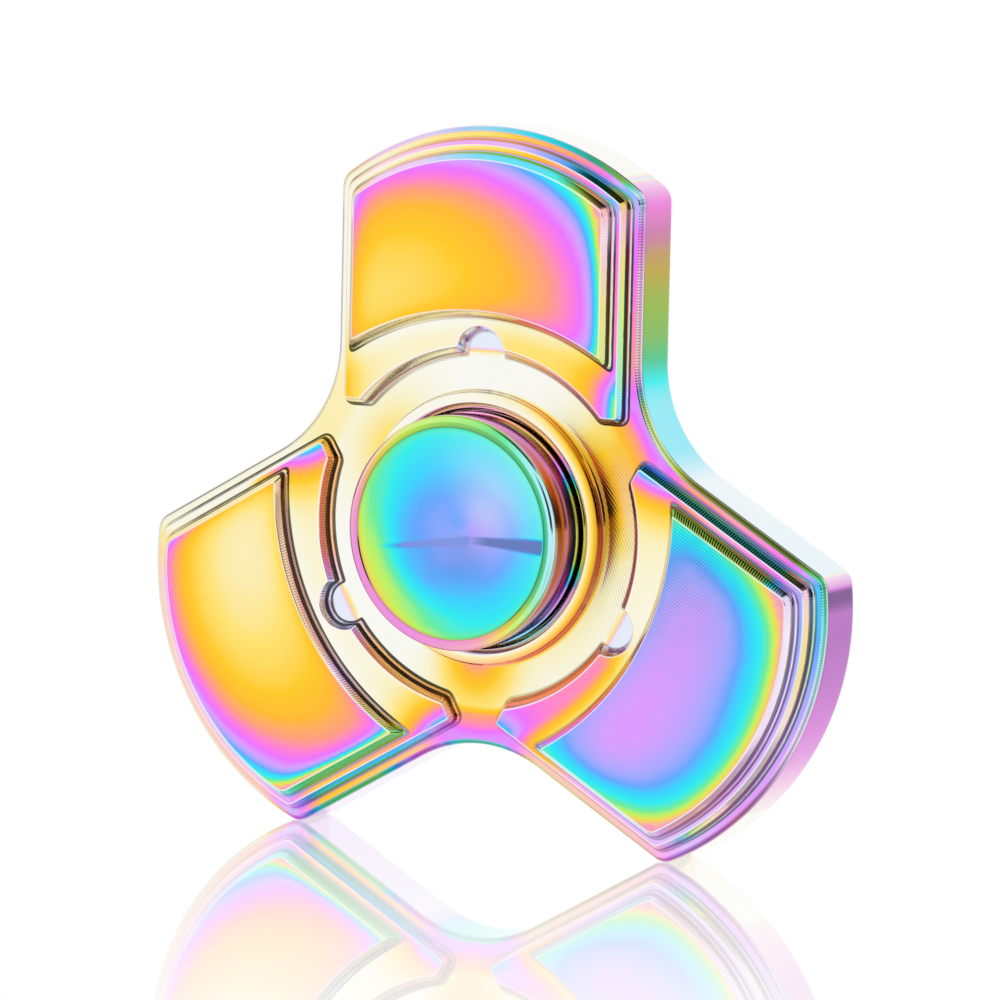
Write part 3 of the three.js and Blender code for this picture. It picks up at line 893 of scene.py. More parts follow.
def add_collar(shell):
    """The collar, from the hub's floor over its lip and down into the bearing's seat."""
    corners = [
        (HUB_TOP, HUB_HEIGHT),
        (COLLAR_OUTER, HUB_HEIGHT),
        (COLLAR_OUTER, COLLAR_SHOULDER_HEIGHT),
        (COLLAR_LIP, COLLAR_LIP_HEIGHT),
        (COLLAR_BORE, COLLAR_LIP_HEIGHT - COLLAR_BEVEL),
        (COLLAR_BORE, HUB_HEIGHT),
        (SEAT_RADIUS, HUB_HEIGHT),
        (SEAT_RADIUS, 0.0),
    ]
    start = (COLLAR_OUTER + COLLAR_FILLET + GUARD, HUB_HEIGHT)
    profile = [start, *softened(corners, COLLAR_ROUNDS), (SEAT_RADIUS, SEAT_RING), (SEAT_RADIUS, 0.0)]
    return rings(shell, profile, collar_film)[0]


def build_frame():
    """The frame's front half."""
    shell = Shell()
    rim = add_edge(shell)
    feet = [add_lobe(shell, lobe) for lobe in range(LOBE_COUNT)]
    shell.fill(rim, [*feet, add_collar(shell)], floor_height, floor_film, floor_creases())
    return shell


def mirrored(shell):
    """The whole body from its front half: points on the mid plane are shared by both halves."""
    points, values, faces = shell.arrays()
    on_plane = np.abs(points[:, 2]) < PLANE_TOLERANCE
    rear = np.arange(len(points)) + len(points)
    rear[on_plane] = np.flatnonzero(on_plane)
    kept = ~on_plane
    shifted = np.cumsum(kept) - 1 + len(points)
    rear[kept] = shifted[kept]
    back_points = points[kept] * (1, 1, -1)
    back_faces = [tuple(rear[i] for i in reversed(face)) for face in faces]
    return np.vstack((points, back_points)), np.vstack((values, values[kept])), faces + back_faces


def make_piece(name, arrays, material, body, node, sharp=28):
    """A mesh piece from points (x, z, height towards the front), riding on a body."""
    points, values, faces = arrays
    placed = np.column_stack((points[:, 0], -points[:, 2], points[:, 1])) * MM
    mesh = bpy.data.meshes.new(name)
    mesh.from_pydata(placed.tolist(), [], [[int(i) for i in face] for face in faces])
    for i, value_name in enumerate(VALUE_NAMES):
        layer = mesh.attributes.new(value_name, "FLOAT", "POINT")
        layer.data.foreach_set("value", np.ascontiguousarray(values[:, i], dtype=np.float32))
    work = bmesh.new()
    work.from_mesh(mesh)
    bmesh.ops.recalc_face_normals(work, faces=work.faces)
    work.to_mesh(mesh)
    work.free()
    mesh.polygons.foreach_set("use_smooth", [True] * len(mesh.polygons))
    mesh.set_sharp_from_angle(angle=math.radians(sharp))
    mesh.materials.append(material)
    piece = bpy.data.objects.new(name, mesh)
    bpy.context.scene.collection.objects.link(piece)
    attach(piece, body)
    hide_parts(node)
    return piece


# ---------- materials ----------


def srgb(r, g, b):
    """A colour given as it appears, made linear."""
    return tuple(c / 12.92 if c <= 0.04045 else ((c + 0.055) / 1.055) ** 2.4 for c in (r, g, b)) + (1.0,)


# Interference colours of the coat as its film thickens.
FILM = (
    (0.00, (0.98, 0.98, 0.96)),
    (0.08, (0.98, 0.95, 0.78)),
    (0.16, (1.00, 0.89, 0.46)),
    (0.26, (1.00, 0.80, 0.18)),
    (0.34, (1.00, 0.73, 0.22)),
    (0.42, (1.00, 0.62, 0.52)),
    (0.49, (1.00, 0.50, 0.86)),
    (0.55, (0.93, 0.46, 1.00)),
    (0.62, (0.85, 0.63, 1.00)),
    (0.68, (0.62, 0.67, 1.00)),
    (0.71, (0.40, 0.66, 1.00)),
    (0.74, (0.24, 0.82, 1.00)),
    (0.79, (0.20, 0.93, 0.93)),
    (0.84, (0.42, 0.93, 0.62)),
    (0.89, (0.76, 0.95, 0.38)),
    (0.94, (0.97, 0.84, 0.36)),
    (1.00, (0.97, 0.64, 0.74)),
    (1.08, (0.92, 0.50, 0.86)),
    (1.16, (0.66, 0.50, 0.86)),
    (1.24, (0.25, 0.66, 0.90)),
)
FILM_END = FILM[-1][0]
PAINTED_HIGHLIGHT_WHITE = (0.97, 0.97, 0.97)
RIB_PITCH = 0.21
MILL_PITCH = 0.22
RIB_DEPTH = 0.005
MILL_DEPTH = 0.0016
RIB_SHADE = 0.5
MILL_SHADE = 0.9
MILL_BREAKS = 900                 # noise scales are in features per metre
CLOUD_SCALE, CLOUD = 260, 0.03
WAVER_SCALE, WAVER = 1500, 0.05
WEAR_SCALE, WEAR = 700, 0.06
PAINTED_LINE_EDGE = 0.03


def grey(brightness):
    return brightness, brightness, brightness, 1.0


SHADES = ((0.0, grey(0.25)), (0.5, grey(1.0)), (1.0, grey(1.0)))


class Graph:
    """Short names for making and linking the nodes of a material or a world."""

    def __init__(self, owner):
        owner.use_nodes = True
        self.nodes, self.links = owner.node_tree.nodes, owner.node_tree.links

    def plug(self, socket, value):
        if isinstance(value, bpy.types.NodeSocket):
            self.links.new(value, socket)
        else:
            socket.default_value = value

    def add(self, kind, output, plugs=(), **settings):
        """A node's output. `plugs` has pairs of (input, value or another output)."""
        node = self.nodes.new("ShaderNode" + kind)
        for name, setting in settings.items():
            setattr(node, name, setting)
        for socket, value in plugs:
            self.plug(node.inputs[socket], value)
        return node.outputs[output]

    def math(self, operation, a, b=0.0, clamp=False):
        return self.add("Math", 0, ((0, a), (1, b)), operation=operation, use_clamp=clamp)

    def product(self, first, *others):
        for other in others:
            first = self.math("MULTIPLY", first, other)
        return first

    def value(self, name):
        return self.add("Attribute", "Fac", attribute_name=name)

    def noise(self, scale, detail=3.0, stretch=(1.0, 1.0, 1.0)):
        """Noise in the object's own metres, so that it stays put as the object moves."""
        place = self.add("TexCoord", "Object")
        spread = self.add("Mapping", "Vector", (("Vector", place), ("Scale", stretch)))
        return self.add("TexNoise", "Fac", (("Vector", spread), ("Scale", scale), ("Detail", detail)))

    def swing(self, scale, amount, detail=3.0, stretch=(1.0, 1.0, 1.0)):
        """Noise round 0, of the given amount."""
        return self.product(self.math("SUBTRACT", self.noise(scale, detail, stretch), 0.5), amount)

    def wave(self, place, pitch):
        return self.math("SINE", self.product(place, 2 * math.pi / pitch))

    def ramp(self, value, stops):
        node = self.nodes.new("ShaderNodeValToRGB")
        elements = node.color_ramp.elements
        elements[0].position, elements[0].color = stops[0]
        elements[1].position, elements[1].color = stops[-1]
        for position, colour in stops[1:-1]:
            elements.new(position).color = colour
        self.plug(node.inputs["Fac"], value)
        return node.outputs["Color"]

    def step(self, value, low, high, before=0.0, after=1.0, shape="LINEAR"):
        """`before` at low and `after` at high, which may be the lower of the two."""
        plugs = (("Value", value), ("From Min", low), ("From Max", high),
                 ("To Min", before), ("To Max", after))
        return self.add("MapRange", "Result", plugs, interpolation_type=shape)

    def mix(self, share, a, b, blend="MIX"):
        plugs = (("Factor", share), ("A", a), ("B", b))
        return self.add("Mix", "Result", plugs, data_type="RGBA", blend_type=blend)

    def along(self, vector, towards):
        """How far a vector reaches in a direction."""
        return self.add("VectorMath", "Value", ((0, vector), (1, towards)), operation="DOT_PRODUCT")

    def bump(self, height):
        return self.add("Bump", "Normal", (("Height", height), ("Distance", MM)))


def metal(name):
    """A bare metal material, its node graph and its shader's inputs."""
    material = bpy.data.materials.new(name)
    graph = Graph(material)
    surface = graph.nodes["Principled BSDF"].inputs
    surface["Metallic"].default_value = 1.0
    return material, graph, surface


def coated(name, roughness):
    """Polished metal under an interference coat, with painted highlights and painted shade from the
    paleness, painted reflection lines along the walls, and the cutter's marks where the mesh asks for them.
    """
    material, g, surface = metal(name)
    thickness = g.math("DIVIDE", g.math("ADD", g.value("coat"), g.swing(CLOUD_SCALE, CLOUD)), FILM_END)
    colour = g.ramp(thickness, [(place / FILM_END, srgb(*shown)) for place, shown in FILM])
    # Painted light: a paleness above 0 mixes the film towards white as a painted highlight, below 0 towards
    # black as painted shade.
    painted_light = g.value("painted_light")
    colour = g.mix(g.math("MAXIMUM", painted_light, 0.0), colour, srgb(*PAINTED_HIGHLIGHT_WHITE))
    colour = g.mix(g.math("MAXIMUM", g.product(painted_light, -1.0), 0.0), colour, grey(0.0))
    # Painted reflection lines: dark and light bands over each wall's rise.
    rise = g.math("ADD", g.value("rise"), g.swing(WAVER_SCALE, WAVER))
    for low, high, shown, cover in PAINTED_REFLECTION_LINES:
        inside = g.product(g.step(rise, low, low + PAINTED_LINE_EDGE), g.step(rise, high, high - PAINTED_LINE_EDGE))
        colour = g.mix(g.product(inside, g.value("painted_lines"), cover), colour, grey(shown))

    ribs = g.product(g.wave(g.value("rib"), RIB_PITCH), g.value("ribbed"))
    mill = g.product(g.wave(g.value("mill"), MILL_PITCH), g.noise(MILL_BREAKS), g.value("milled"))
    shade = g.math("ADD", g.product(ribs, RIB_SHADE), g.product(mill, MILL_SHADE))
    shade = g.ramp(g.math("ADD", g.product(shade, 0.5), 0.5), SHADES)
    g.plug(surface["Base Color"], g.mix(1.0, colour, shade, "MULTIPLY"))
    g.plug(surface["Roughness"], g.math("ADD", g.swing(WEAR_SCALE, WEAR), roughness, clamp=True))
    depth = g.math("ADD", g.product(ribs, RIB_DEPTH), g.product(mill, MILL_DEPTH))
    g.plug(surface["Normal"], g.bump(depth))
    return material


frame_metal = coated("coated_frame_metal_painted_light", roughness=0.10)
cap_metal = coated("coated_cap_metal_painted_light", roughness=0.12)
make_piece("frame_body", mirrored(build_frame()), frame_metal, "frame", "frame")

# ---------- finger caps ----------

CAP_RADIUS = 8.80
CAP_TOP = 7.47
CAP_EDGE = 0.5
CAP_RIM_INNER = 7.88
CAP_GROOVE_RADIUS = 7.6
CAP_GROOVE_TOP = 4.94
CAP_GROOVE_BOTTOM = 3.87
CAP_FLANGE_BOTTOM = 2.70
CAP_BOSS_RADIUS = 4.0
CAP_SEAT = 2.41
CAP_RIM_SLOPE = 0.1               # across the rim's inner edge
CAP_EDGE_GUARD = 0.15             # a strip this high lies below the rounded edge
CAP_UPPER_ROUNDS = ((0.03, 3), (0.08, 4), (CAP_EDGE, 14))
CAP_LOWER_ROUNDS = ((0.12, 5), (0.12, 4), (0.12, 4), (0.12, 5), (0.12, 5), (0.08, 4))
DISH_TOP = 7.39
DISH_DEPTH = 1.15
DISH_CURVE = 1.4
DISH_STEPS = 40
STUD_RADIUS = 2.00
STUD_END = -3.6
STUD_CHAMFER = 0.3
SLEEVE_RADIUS = 3.14
SLEEVE_BORE = 2.15
SLEEVE_END = 2.10
SLEEVE_HOLE_BOTTOM = -4.0
SLEEVE_CHAMFER = 0.2
SHANK_ROUND = 0.08

# Films round the cap: direction, film thickness, paleness. The paleness is painted light: above 0 a painted
# highlight, below 0 painted shade or a painted dark reflection.
CAP_RIM_FILM = ((0, .84, -.5), (60, .85, -.45), (100, .88, -.3), (128, .90, -.15), (150, .95, -.2),
                (168, 1.02, 0), (185, 1.06, .1), (240, 1.08, .15), (272, 1.05, .1), (300, .96, -.1),
                (330, .86, -.45))
CAP_EDGE_FILM = ((0, .76, .6), (40, .79, .4), (65, .85, -.1), (90, .88, .1), (120, .91, .2),
                 (145, .97, .3), (175, 1.04, .2), (200, 1.08, .1), (250, 1.08, .1), (285, 1.0, .1),
                 (310, .90, .1), (340, .80, .4))
CAP_WALL_FILM = ((-60, 1.20, .2), (-35, 1.12, -.3), (-12, 1.04, -.4), (12, 1.03, -.35),
                 (35, 1.08, -.15), (60, 1.11, -.1), (90, 1.10, .1), (180, 1.08, .4))
CAP_GROOVE_FILM = ((-60, .72, .5), (-35, .92, .3), (0, .94, .2), (35, .93, .4), (70, 1.05, .3),
                   (180, .20, .5))
CAP_FLANGE_FILM = ((-60, .76, .3), (-30, .60, 0), (-10, .92, -.2), (20, .92, -.15), (50, .30, .2),
                   (90, .50, .3), (180, .20, .3))
# Below the cap's face and inside its outer edge: a thin film made pale, a painted neutral reflection.
CAP_UNDER_FILM = (.05, .65)
# Painted shade: a thin dark line in the crease where the dish meets the rim.
RIM_SHADE = 0.6                   # a thin dark line where the dish meets the rim
RIM_SHADE_WIDTH = 0.05
CAP_MILLING = 0.12
CAP_MILLED = (3.0, 5.5)           # radii where the milling fades out

# Where one film gives way to another: heights first, then radii.
CAP_EDGE_START = (CAP_TOP - CAP_EDGE - 0.1, CAP_TOP - CAP_EDGE + 0.1)
CAP_FACE_START = CAP_TOP - DISH_DEPTH - 0.3
GROOVE_SPAN = (CAP_GROOVE_BOTTOM - 0.05, CAP_GROOVE_TOP + 0.05)
GROOVE_REACH = (CAP_GROOVE_RADIUS + 0.3, CAP_RADIUS - 0.3)
CAP_UNDER_REACH = (CAP_RADIUS - 0.7, CAP_RADIUS - 0.2)
CAP_RIM_REACH = (8.25, 8.4)
DISH_REACH = (CAP_RIM_INNER, CAP_RIM_INNER + CAP_RIM_SLOPE)

# The dish's film from its middle to its rim.
DISH_RADII = (0, 2, 4, 6, 7.2, CAP_RIM_INNER)
DISH_COATS = (.685, .695, .718, .742, .768, .81)
# Its glows: direction, spread in degrees, radii where it fades in and out, its film and its paleness. The
# paleness is painted light: a painted highlight towards the upper right and painted shade towards the
# bottom.
DISH_GLOWS_AND_PAINTED_LIGHT = (
    (212, 60, (4.2, 6.9, 8.8, 9.0), .13, 0),
    (100, 60, (-2, -1, 8.8, 9.0), .01, 0),
    (5, 50, (0.2, 1.5, 3, 7.5), -.035, 0),
    (42, 45, (0.5, 3, 8.8, 9.0), 0, .192),
    (42, 45, (0.5, 3, 5, 7.5), 0, .128),
    (285, 75, (0.2, 1.2, 2, 5), .005, -.14),
)
# Painted dark reflections across it, as streaks: where they run along X, and at both ends their height and
# half thickness.
PAINTED_DARK_STREAKS = (
    {"span": (0.3, 7.75), "middle": (-0.50, -0.45), "half": (0.22, 0.55), "dark": 0.48},
    {"span": (-6.5, 1.0), "middle": (-1.50, -0.60), "half": (0.12, 0.40), "dark": 0.22},
)
STREAK_COAT = 0.69
STREAK_LEAST = 0.05               # half thickness where a streak would run out
STREAK_FADE = 0.35                # share of a streak's length
STREAK_SOFT = (0.7, 1.3)          # its edge, in half thicknesses


def dish_film(points):
    radius, degrees = distance(points), direction(points)
    x, y = points.T
    film = plain(np.interp(radius, DISH_RADII, DISH_COATS))
    for middle, spread, radii, *change in DISH_GLOWS_AND_PAINTED_LIGHT:
        share = glow(degrees, middle, spread) * within_span(radius, *radii)
        film += np.multiply.outer(share, change)
    # Painted dark reflections streaked across the dish.
    for streak in PAINTED_DARK_STREAKS:
        start, end = streak["span"]
        share = (x - start) / (end - start)
        middle, half = (at_start + share * (at_end - at_start)
                        for at_start, at_end in (streak["middle"], streak["half"]))
        across = 1 - ramp(np.abs(y - middle) / np.maximum(half, STREAK_LEAST), *STREAK_SOFT)
        shade = across * ramp(share, 0, STREAK_FADE) * (share < 1)
        film = blend(film, (STREAK_COAT, -streak["dark"]), shade)
    return film


def cap_film(points, height, _):
    radius, degrees = distance(points), direction(points)
    rim, edge, side, groove, flange = (
        by_direction(film, degrees)
        for film in (CAP_RIM_FILM, CAP_EDGE_FILM, CAP_WALL_FILM, CAP_GROOVE_FILM, CAP_FLANGE_FILM))
    film = blend(flange, side, ramp(height, CAP_GROOVE_BOTTOM, CAP_GROOVE_TOP))
    if GROOVE_SPAN[0] < height < GROOVE_SPAN[1]:
        film = blend(film, groove, 1 - ramp(radius, *GROOVE_REACH))
    film = blend(film, edge, ramp(height, *CAP_EDGE_START))
    if height < CAP_FACE_START:
        film = blend(film, CAP_UNDER_FILM, 1 - ramp(radius, *CAP_UNDER_REACH))
    else:
        film = blend(film, rim, 1 - ramp(radius, *CAP_RIM_REACH))
        film = blend(film, dish_film(points), 1 - ramp(radius, *DISH_REACH))
        # Painted shade in the crease where the dish meets the rim.
        from_rim = radius - CAP_RIM_INNER - RIM_SHADE_WIDTH
        film[:, 1] -= RIM_SHADE * np.exp(-(from_rim / RIM_SHADE_WIDTH) ** 2)
    return with_milling(film, radius, CAP_MILLING * (1 - ramp(radius, *CAP_MILLED)))


def cap_profile():
    """From the middle of the dish over the rim, the groove and the flange to the boss on the bearing."""
    shares = np.linspace(0, 1, DISH_STEPS)
    dish = [(s * CAP_RIM_INNER, DISH_TOP - DISH_DEPTH * (1 - s**DISH_CURVE)) for s in shares]
    corners = [
        dish[-2],
        (CAP_RIM_INNER, DISH_TOP),
        (CAP_RIM_INNER + CAP_RIM_SLOPE, CAP_TOP),
        (CAP_RADIUS, CAP_TOP),
        (CAP_RADIUS, CAP_GROOVE_TOP),
        (CAP_GROOVE_RADIUS, CAP_GROOVE_TOP),
        (CAP_GROOVE_RADIUS, CAP_GROOVE_BOTTOM),
        (CAP_RADIUS, CAP_GROOVE_BOTTOM),
        (CAP_RADIUS, CAP_FLANGE_BOTTOM),
        (CAP_BOSS_RADIUS, CAP_FLANGE_BOTTOM),
        (CAP_BOSS_RADIUS, CAP_SEAT),
    ]
    upper = softened(corners[:5], CAP_UPPER_ROUNDS)
    lower = softened(corners[3:], CAP_LOWER_ROUNDS)
    return [*dish[:-1], *upper, (CAP_RADIUS, CAP_TOP - CAP_EDGE - CAP_EDGE_GUARD), *lower, corners[-1]]


def build_cap(shank):
    shell = Shell()
    rings(shell, [*cap_profile(), *shank], cap_film)
    return shell.arrays()


def stud():
    corners = [
        (CAP_BOSS_RADIUS, CAP_SEAT),
        (STUD_RADIUS, CAP_SEAT),
        (STUD_RADIUS, STUD_END + STUD_CHAMFER),
        (STUD_RADIUS - STUD_CHAMFER, STUD_END),
    ]
    return [*rounded(corners, SHANK_ROUND)[1:], (0, STUD_END)]


def sleeve():
    corners = [
        (CAP_BOSS_RADIUS, CAP_SEAT),
        (SLEEVE_RADIUS, CAP_SEAT),
        (SLEEVE_RADIUS, SLEEVE_CHAMFER - SLEEVE_END),
        (SLEEVE_RADIUS - SLEEVE_CHAMFER, -SLEEVE_END),
        (SLEEVE_BORE, -SLEEVE_END),
        (SLEEVE_BORE, SLEEVE_HOLE_BOTTOM),
    ]
    return [*rounded(corners, SHANK_ROUND)[1:], (0, SLEEVE_HOLE_BOTTOM)]


def flipped(arrays):
    """The same piece on the rear side."""
    points, values, faces = arrays
    return points * (1, 1, -1), values, faces


front_cap, rear_cap = build_cap(stud()), flipped(build_cap(sleeve()))
make_piece("front_cap_button", front_cap, cap_metal, "button_axle", "front_cap")
make_piece("rear_cap_button", rear_cap, cap_metal, "button_axle", "rear_cap")

# ---------- bearing ----------

HALF_WIDTH = 2.38
BORE_RADIUS = 3.175
OUTER_RADIUS = 6.35
PITCH_RADIUS = 4.7625
GROOVE_RADIUS = 1.035
INNER_SHOULDER = 4.15
OUTER_SHOULDER = 5.40
BALL_RADIUS = 0.992
BALL_COUNT = 10
BALL_STEPS = 96
RACE_STEPS = 17
INNER_RING_ROUND = 0.12
OUTER_RING_ROUND = 0.04
SHIELD_ROUND = 0.05
SHIELD_SEAT_RADIUS = 5.75
SHIELD_NEAR = 1.78
SHIELD_FAR = 1.98
WIRE_GROOVE_RADIUS = 5.93
WIRE_GROOVE_FAR = 2.22
WIRE_LIP_RADIUS = 5.70
SHIELD_BORE = 4.30
SHIELD_OUTER = 5.72
SHIELD_THICKNESS = 0.18
SHIELD_DISH = 0.17                # how far the middle of a shield is pressed towards the balls
SHIELD_BEND = 4.70
SHIELD_SLOPE = 0.32
SHIELD_OVERLAP = 0.06
SHIELD_PLAY = 0.01
WIRE_RADIUS = 5.80
WIRE_HALF = 0.10
WIRE_GAP = 24                     # degrees
WIRE_STEPS = 160
WIRE_SECTION_STEPS = 16


def bare(points, height, _):
    return np.zeros((1, 4))


def turned_ring(profile):
    shell = Shell()
    rings(shell, profile, bare, closed=True)
    return shell.arrays()


def race(shoulder):
    """The round groove that the balls run in, from its rear edge to its front one."""
    side = 1 if shoulder > PITCH_RADIUS else -1
    reach = math.acos(abs(shoulder - PITCH_RADIUS) / GROOVE_RADIUS)
    angles = np.linspace(-reach, reach, RACE_STEPS)
    radii = PITCH_RADIUS + side * GROOVE_RADIUS * np.cos(angles)
    return list(zip(radii, GROOVE_RADIUS * np.sin(angles)))


def ring_with_race(shoulder, front, radius):
    """A ring from its race and the corners of its front half, which the rear half repeats."""
    groove = race(shoulder)
    rear = [(corner_radius, -height) for corner_radius, height in reversed(front)]
    return turned_ring([*groove, *rounded([groove[-1], *front, *rear, groove[0]], radius)[1:-1]])


def build_inner_ring():
    front = [(INNER_SHOULDER, HALF_WIDTH), (BORE_RADIUS, HALF_WIDTH)]
    return ring_with_race(INNER_SHOULDER, front, INNER_RING_ROUND)


def build_outer_ring():
    front = [
        (OUTER_SHOULDER, SHIELD_NEAR),
        (SHIELD_SEAT_RADIUS, SHIELD_NEAR),
        (SHIELD_SEAT_RADIUS, SHIELD_FAR),
        (WIRE_GROOVE_RADIUS, SHIELD_FAR),
        (WIRE_GROOVE_RADIUS, WIRE_GROOVE_FAR),
        (WIRE_LIP_RADIUS, WIRE_GROOVE_FAR),
        (WIRE_LIP_RADIUS, HALF_WIDTH),
        (OUTER_RADIUS, HALF_WIDTH),
    ]
    return ring_with_race(OUTER_SHOULDER, front, OUTER_RING_ROUND)


def build_shield():
    """A thin ring whose inner part is pressed towards the balls."""
    near = SHIELD_NEAR + SHIELD_PLAY
    far = near + SHIELD_THICKNESS
    inner = [
        (SHIELD_BORE, near - SHIELD_DISH),
        (SHIELD_BEND, near - SHIELD_DISH),
        (SHIELD_BEND + SHIELD_SLOPE, near),
        (SHIELD_OUTER, near),
    ]
    outer = [
        (SHIELD_OUTER, far),
        (SHIELD_BEND + SHIELD_SLOPE - SHIELD_OVERLAP, far),
        (SHIELD_BEND - SHIELD_OVERLAP, far - SHIELD_DISH),
        (SHIELD_BORE, far - SHIELD_DISH),
    ]
    corners = [*inner, *outer]
    return turned_ring(rounded([corners[-1], *corners, corners[0]], SHIELD_ROUND)[1:-1])


def build_wire():
    shell = Shell()
    height = (SHIELD_FAR + WIRE_GROOVE_FAR) / 2
    section = np.linspace(0, 2 * math.pi, WIRE_SECTION_STEPS, endpoint=False)
    loops = []
    for degrees in np.linspace(WIRE_GAP / 2, 360 - WIRE_GAP / 2, WIRE_STEPS):
        radii = WIRE_RADIUS + WIRE_HALF * np.cos(section)
        plane = turn(np.column_stack((radii, 0 * radii)), degrees)
        loops.append(shell.add(plane, height + WIRE_HALF * np.sin(section), np.zeros(4)))
        if len(loops) > 1:
            shell.strip(loops[-2], loops[-1])
    shell.faces += [tuple(loops[0]), tuple(loops[-1])]
    return shell.arrays()


def build_ball(index):
    angle = math.radians(index * 360 / BALL_COUNT)
    shell = Shell()
    polar = np.linspace(0, math.pi, BALL_STEPS // 2 + 1)
    profile = [(BALL_RADIUS * math.sin(a), BALL_RADIUS * math.cos(a)) for a in polar[1:-1]]
    rings(shell, [(0, BALL_RADIUS), *profile, (0, -BALL_RADIUS)], bare, BALL_STEPS)
    points, values, faces = shell.arrays()
    return points + (PITCH_RADIUS * math.cos(angle), -PITCH_RADIUS * math.sin(angle), 0), values, faces


STAIN_SCALE = 350
UNEVEN = 0.12
MARK_DEPTH = 0.004


def steel(name, bright, dull, roughness, grain, stretch=(1.0, 1.0, 1.0)):
    """Bright steel with fine marks, faint stains and an uneven polish."""
    material, g, surface = metal(name)
    marks = g.noise(grain, 4.0, stretch)
    g.plug(surface["Base Color"], g.mix(g.noise(STAIN_SCALE), srgb(*dull), srgb(*bright)))
    uneven = g.product(g.math("SUBTRACT", marks, 0.5), UNEVEN)
    g.plug(surface["Roughness"], g.math("ADD", uneven, roughness, clamp=True))
    g.plug(surface["Normal"], g.bump(g.product(marks, MARK_DEPTH)))
    return material


ALONG_AXIS = (0.02, 1.0, 0.02)    # marks left by turning run round the spin axis
DOWN_SHEET = (1.0, 1.0, 0.04)     # marks left by rolling run one way
ring_steel = steel("bearing_ring_steel", (.86, .87, .88), (.76, .77, .79), 0.13, 9000, ALONG_AXIS)
ball_metal = steel("ball_bearing_steel", (.93, .94, .95), (.86, .87, .88), 0.05, 3000)
cage_metal = steel("pressed_cage_steel", (.74, .75, .76), (.60, .61, .63), 0.32, 4000)
sheet_steel = steel("rolled_shield_steel", (.80, .81, .82), (.68, .69, .71), 0.24, 6000, DOWN_SHEET)
spring_steel = steel("drawn_wire_steel", (.56, .57, .59), (.42, .43, .46), 0.28, 7000)

make_piece("bearing_inner_race", build_inner_ring(), ring_steel, "button_axle",
           "bearing_inner_ring")
make_piece("bearing_outer_race", build_outer_ring(), ring_steel, "frame",
           "bearing_outer_ring")
for end, placed in (("front", tuple), ("rear", flipped)):
    make_piece(f"pressed_shield_{end}", placed(build_shield()), sheet_steel, "frame",
               f"shield_{end}")
    make_piece(f"snap_wire_{end}", placed(build_wire()), spring_steel, "frame",
               f"shield_wire_{end}")
for i in range(BALL_COUNT):
    ball = f"ball_{i + 1:02d}"
    make_piece(f"polished_{ball}", build_ball(i), ball_metal, ball, ball)

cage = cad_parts["ball_cage"]
cage.data.materials.clear()
cage.data.materials.append(cage_metal)

# ---------- camera, light and floor ----------

CAMERA_AIM = Vector((0.806, -1.344, 2.017)) * MM
CAMERA_DISTANCE = 539.3 * MM
CAMERA_AZIMUTH = math.radians(29.01)
CAMERA_ELEVATION = math.radians(6.91)
CAMERA_ROLL = math.radians(1.28)
CAMERA_LENS = 259.75


def add_camera():
    back = Vector((math.sin(CAMERA_AZIMUTH) * math.cos(CAMERA_ELEVATION),
                   -math.cos(CAMERA_AZIMUTH) * math.cos(CAMERA_ELEVATION),
                   math.sin(CAMERA_ELEVATION)))
    data = bpy.data.cameras.new("camera")
    data.lens = CAMERA_LENS
    data.clip_start = 0.01
    camera = bpy.data.objects.new("camera", data)
    camera.rotation_mode = "QUATERNION"
    level_view = back.to_track_quat("Z", "Y")
    camera.rotation_quaternion = level_view @ Matrix.Rotation(CAMERA_ROLL, 4, "Z").to_quaternion()
    camera.location = CAMERA_AIM + back * CAMERA_DISTANCE
    bpy.context.scene.collection.objects.link(camera)
    bpy.context.scene.camera = camera


add_camera()

# Gaps in the studio's white walls: direction, half angles of the dark core and of its soft edge, darkness.
GAPS = (
    ((0.35, 0.12, 0.925), 17, 28, 0.97),
)
# Upright gaps, taller than they are wide by the squash.
UPRIGHT_SQUASH = 0.5
UPRIGHT_GAPS = (
    ((0.695, -0.719, 0.0), 15, 23, 0.97),
    ((0.80, 0.60, 0.0), 11, 18, 0.95),
    ((-1.0, 0.0, 0.0), 9, 16, 0.95),
)


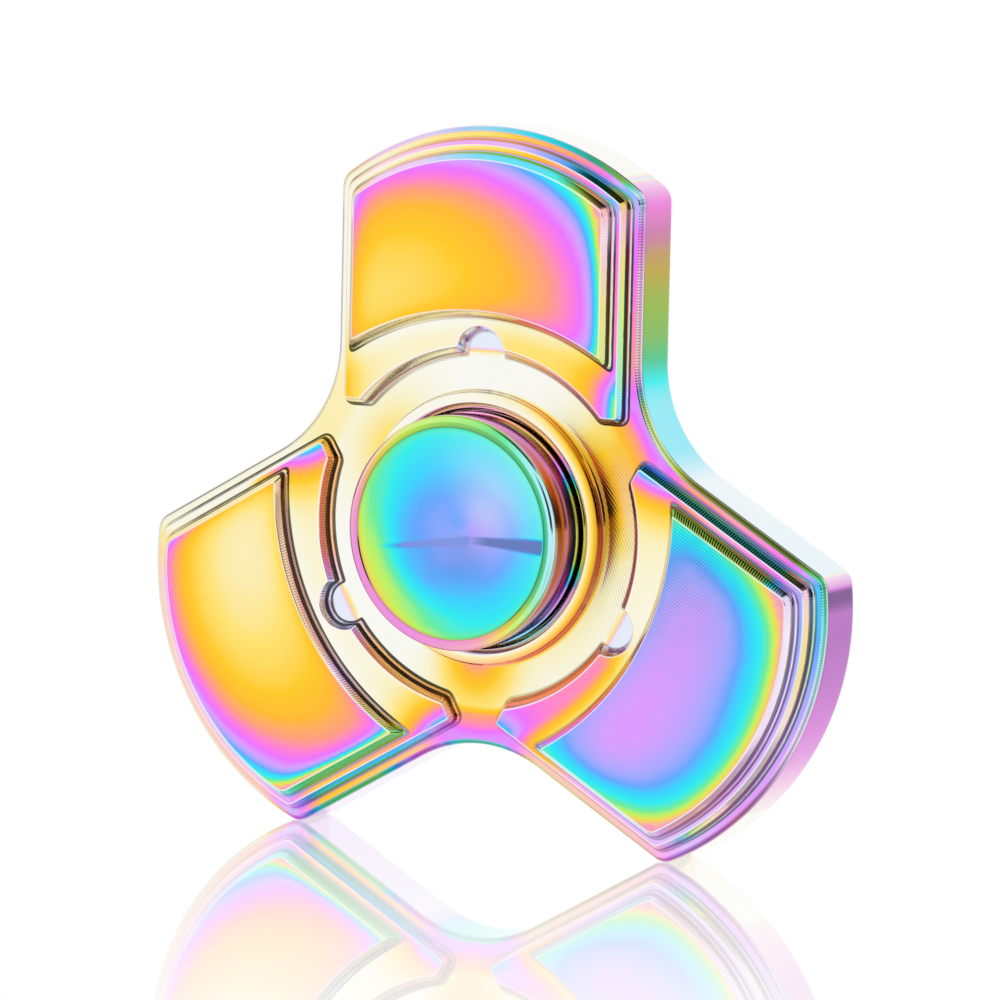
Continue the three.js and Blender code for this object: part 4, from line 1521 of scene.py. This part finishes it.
def build_world():
    world = bpy.data.worlds.new("studio")
    bpy.context.scene.world = world
    g = Graph(world)
    place = g.add("TexCoord", "Generated")
    flat = g.add("VectorMath", "Vector", ((0, place), (1, (1, 1, UPRIGHT_SQUASH))), operation="MULTIPLY")
    upright = g.add("VectorMath", "Vector", ((0, flat),), operation="NORMALIZE")
    light = 1.0
    for gaps, source in ((GAPS, place), (UPRIGHT_GAPS, upright)):
        for towards, core, soft, darkness in gaps:
            nearness = g.along(source, Vector(towards).normalized())
            limits = (math.cos(math.radians(angle)) for angle in (soft, core))
            light = g.product(light, g.step(nearness, *limits, 1.0, 1.0 - darkness, "SMOOTHSTEP"))
    background = g.nodes["Background"].inputs
    background["Color"].default_value = grey(1.0)
    g.plug(background["Strength"], light)
    bpy.context.scene.view_settings.view_transform = "Standard"


build_world()

FLOOR_HALF = 8.0
FLOOR_GLOSS = 0.55
FLOOR_FAR_GLOSS = 0.05
FLOOR_FADE = 0.095                # metres towards the viewer
FLOOR_ROUGHNESS = 0.02


def build_floor():
    """A white floor that mirrors the object, less and less towards the viewer."""
    material = bpy.data.materials.new("floor_white")
    g = Graph(material)
    g.nodes.remove(g.nodes["Principled BSDF"])
    viewer = (math.sin(CAMERA_AZIMUTH), -math.cos(CAMERA_AZIMUTH), 0)
    ahead = g.along(g.add("TexCoord", "Object"), viewer)
    gloss = g.step(ahead, 0.0, FLOOR_FADE, FLOOR_GLOSS, FLOOR_FAR_GLOSS)
    white = g.add("Emission", "Emission")
    mirror = g.add("BsdfGlossy", "BSDF", (("Color", grey(1.0)), ("Roughness", FLOOR_ROUGHNESS)))
    surface = g.add("MixShader", "Shader", (("Fac", gloss), (1, white), (2, mirror)))
    g.plug(g.nodes["Material Output"].inputs["Surface"], surface)

    mesh = bpy.data.meshes.new("floor")
    half = FLOOR_HALF
    corners = [(-half, -half, 0), (half, -half, 0), (half, half, 0), (-half, half, 0)]
    mesh.from_pydata(corners, [], [(0, 1, 2, 3)])
    mesh.materials.append(material)
    floor = bpy.data.objects.new("floor", mesh)
    floor.location = (0, 0, cad_low[2])
    bpy.context.scene.collection.objects.link(floor)


build_floor()
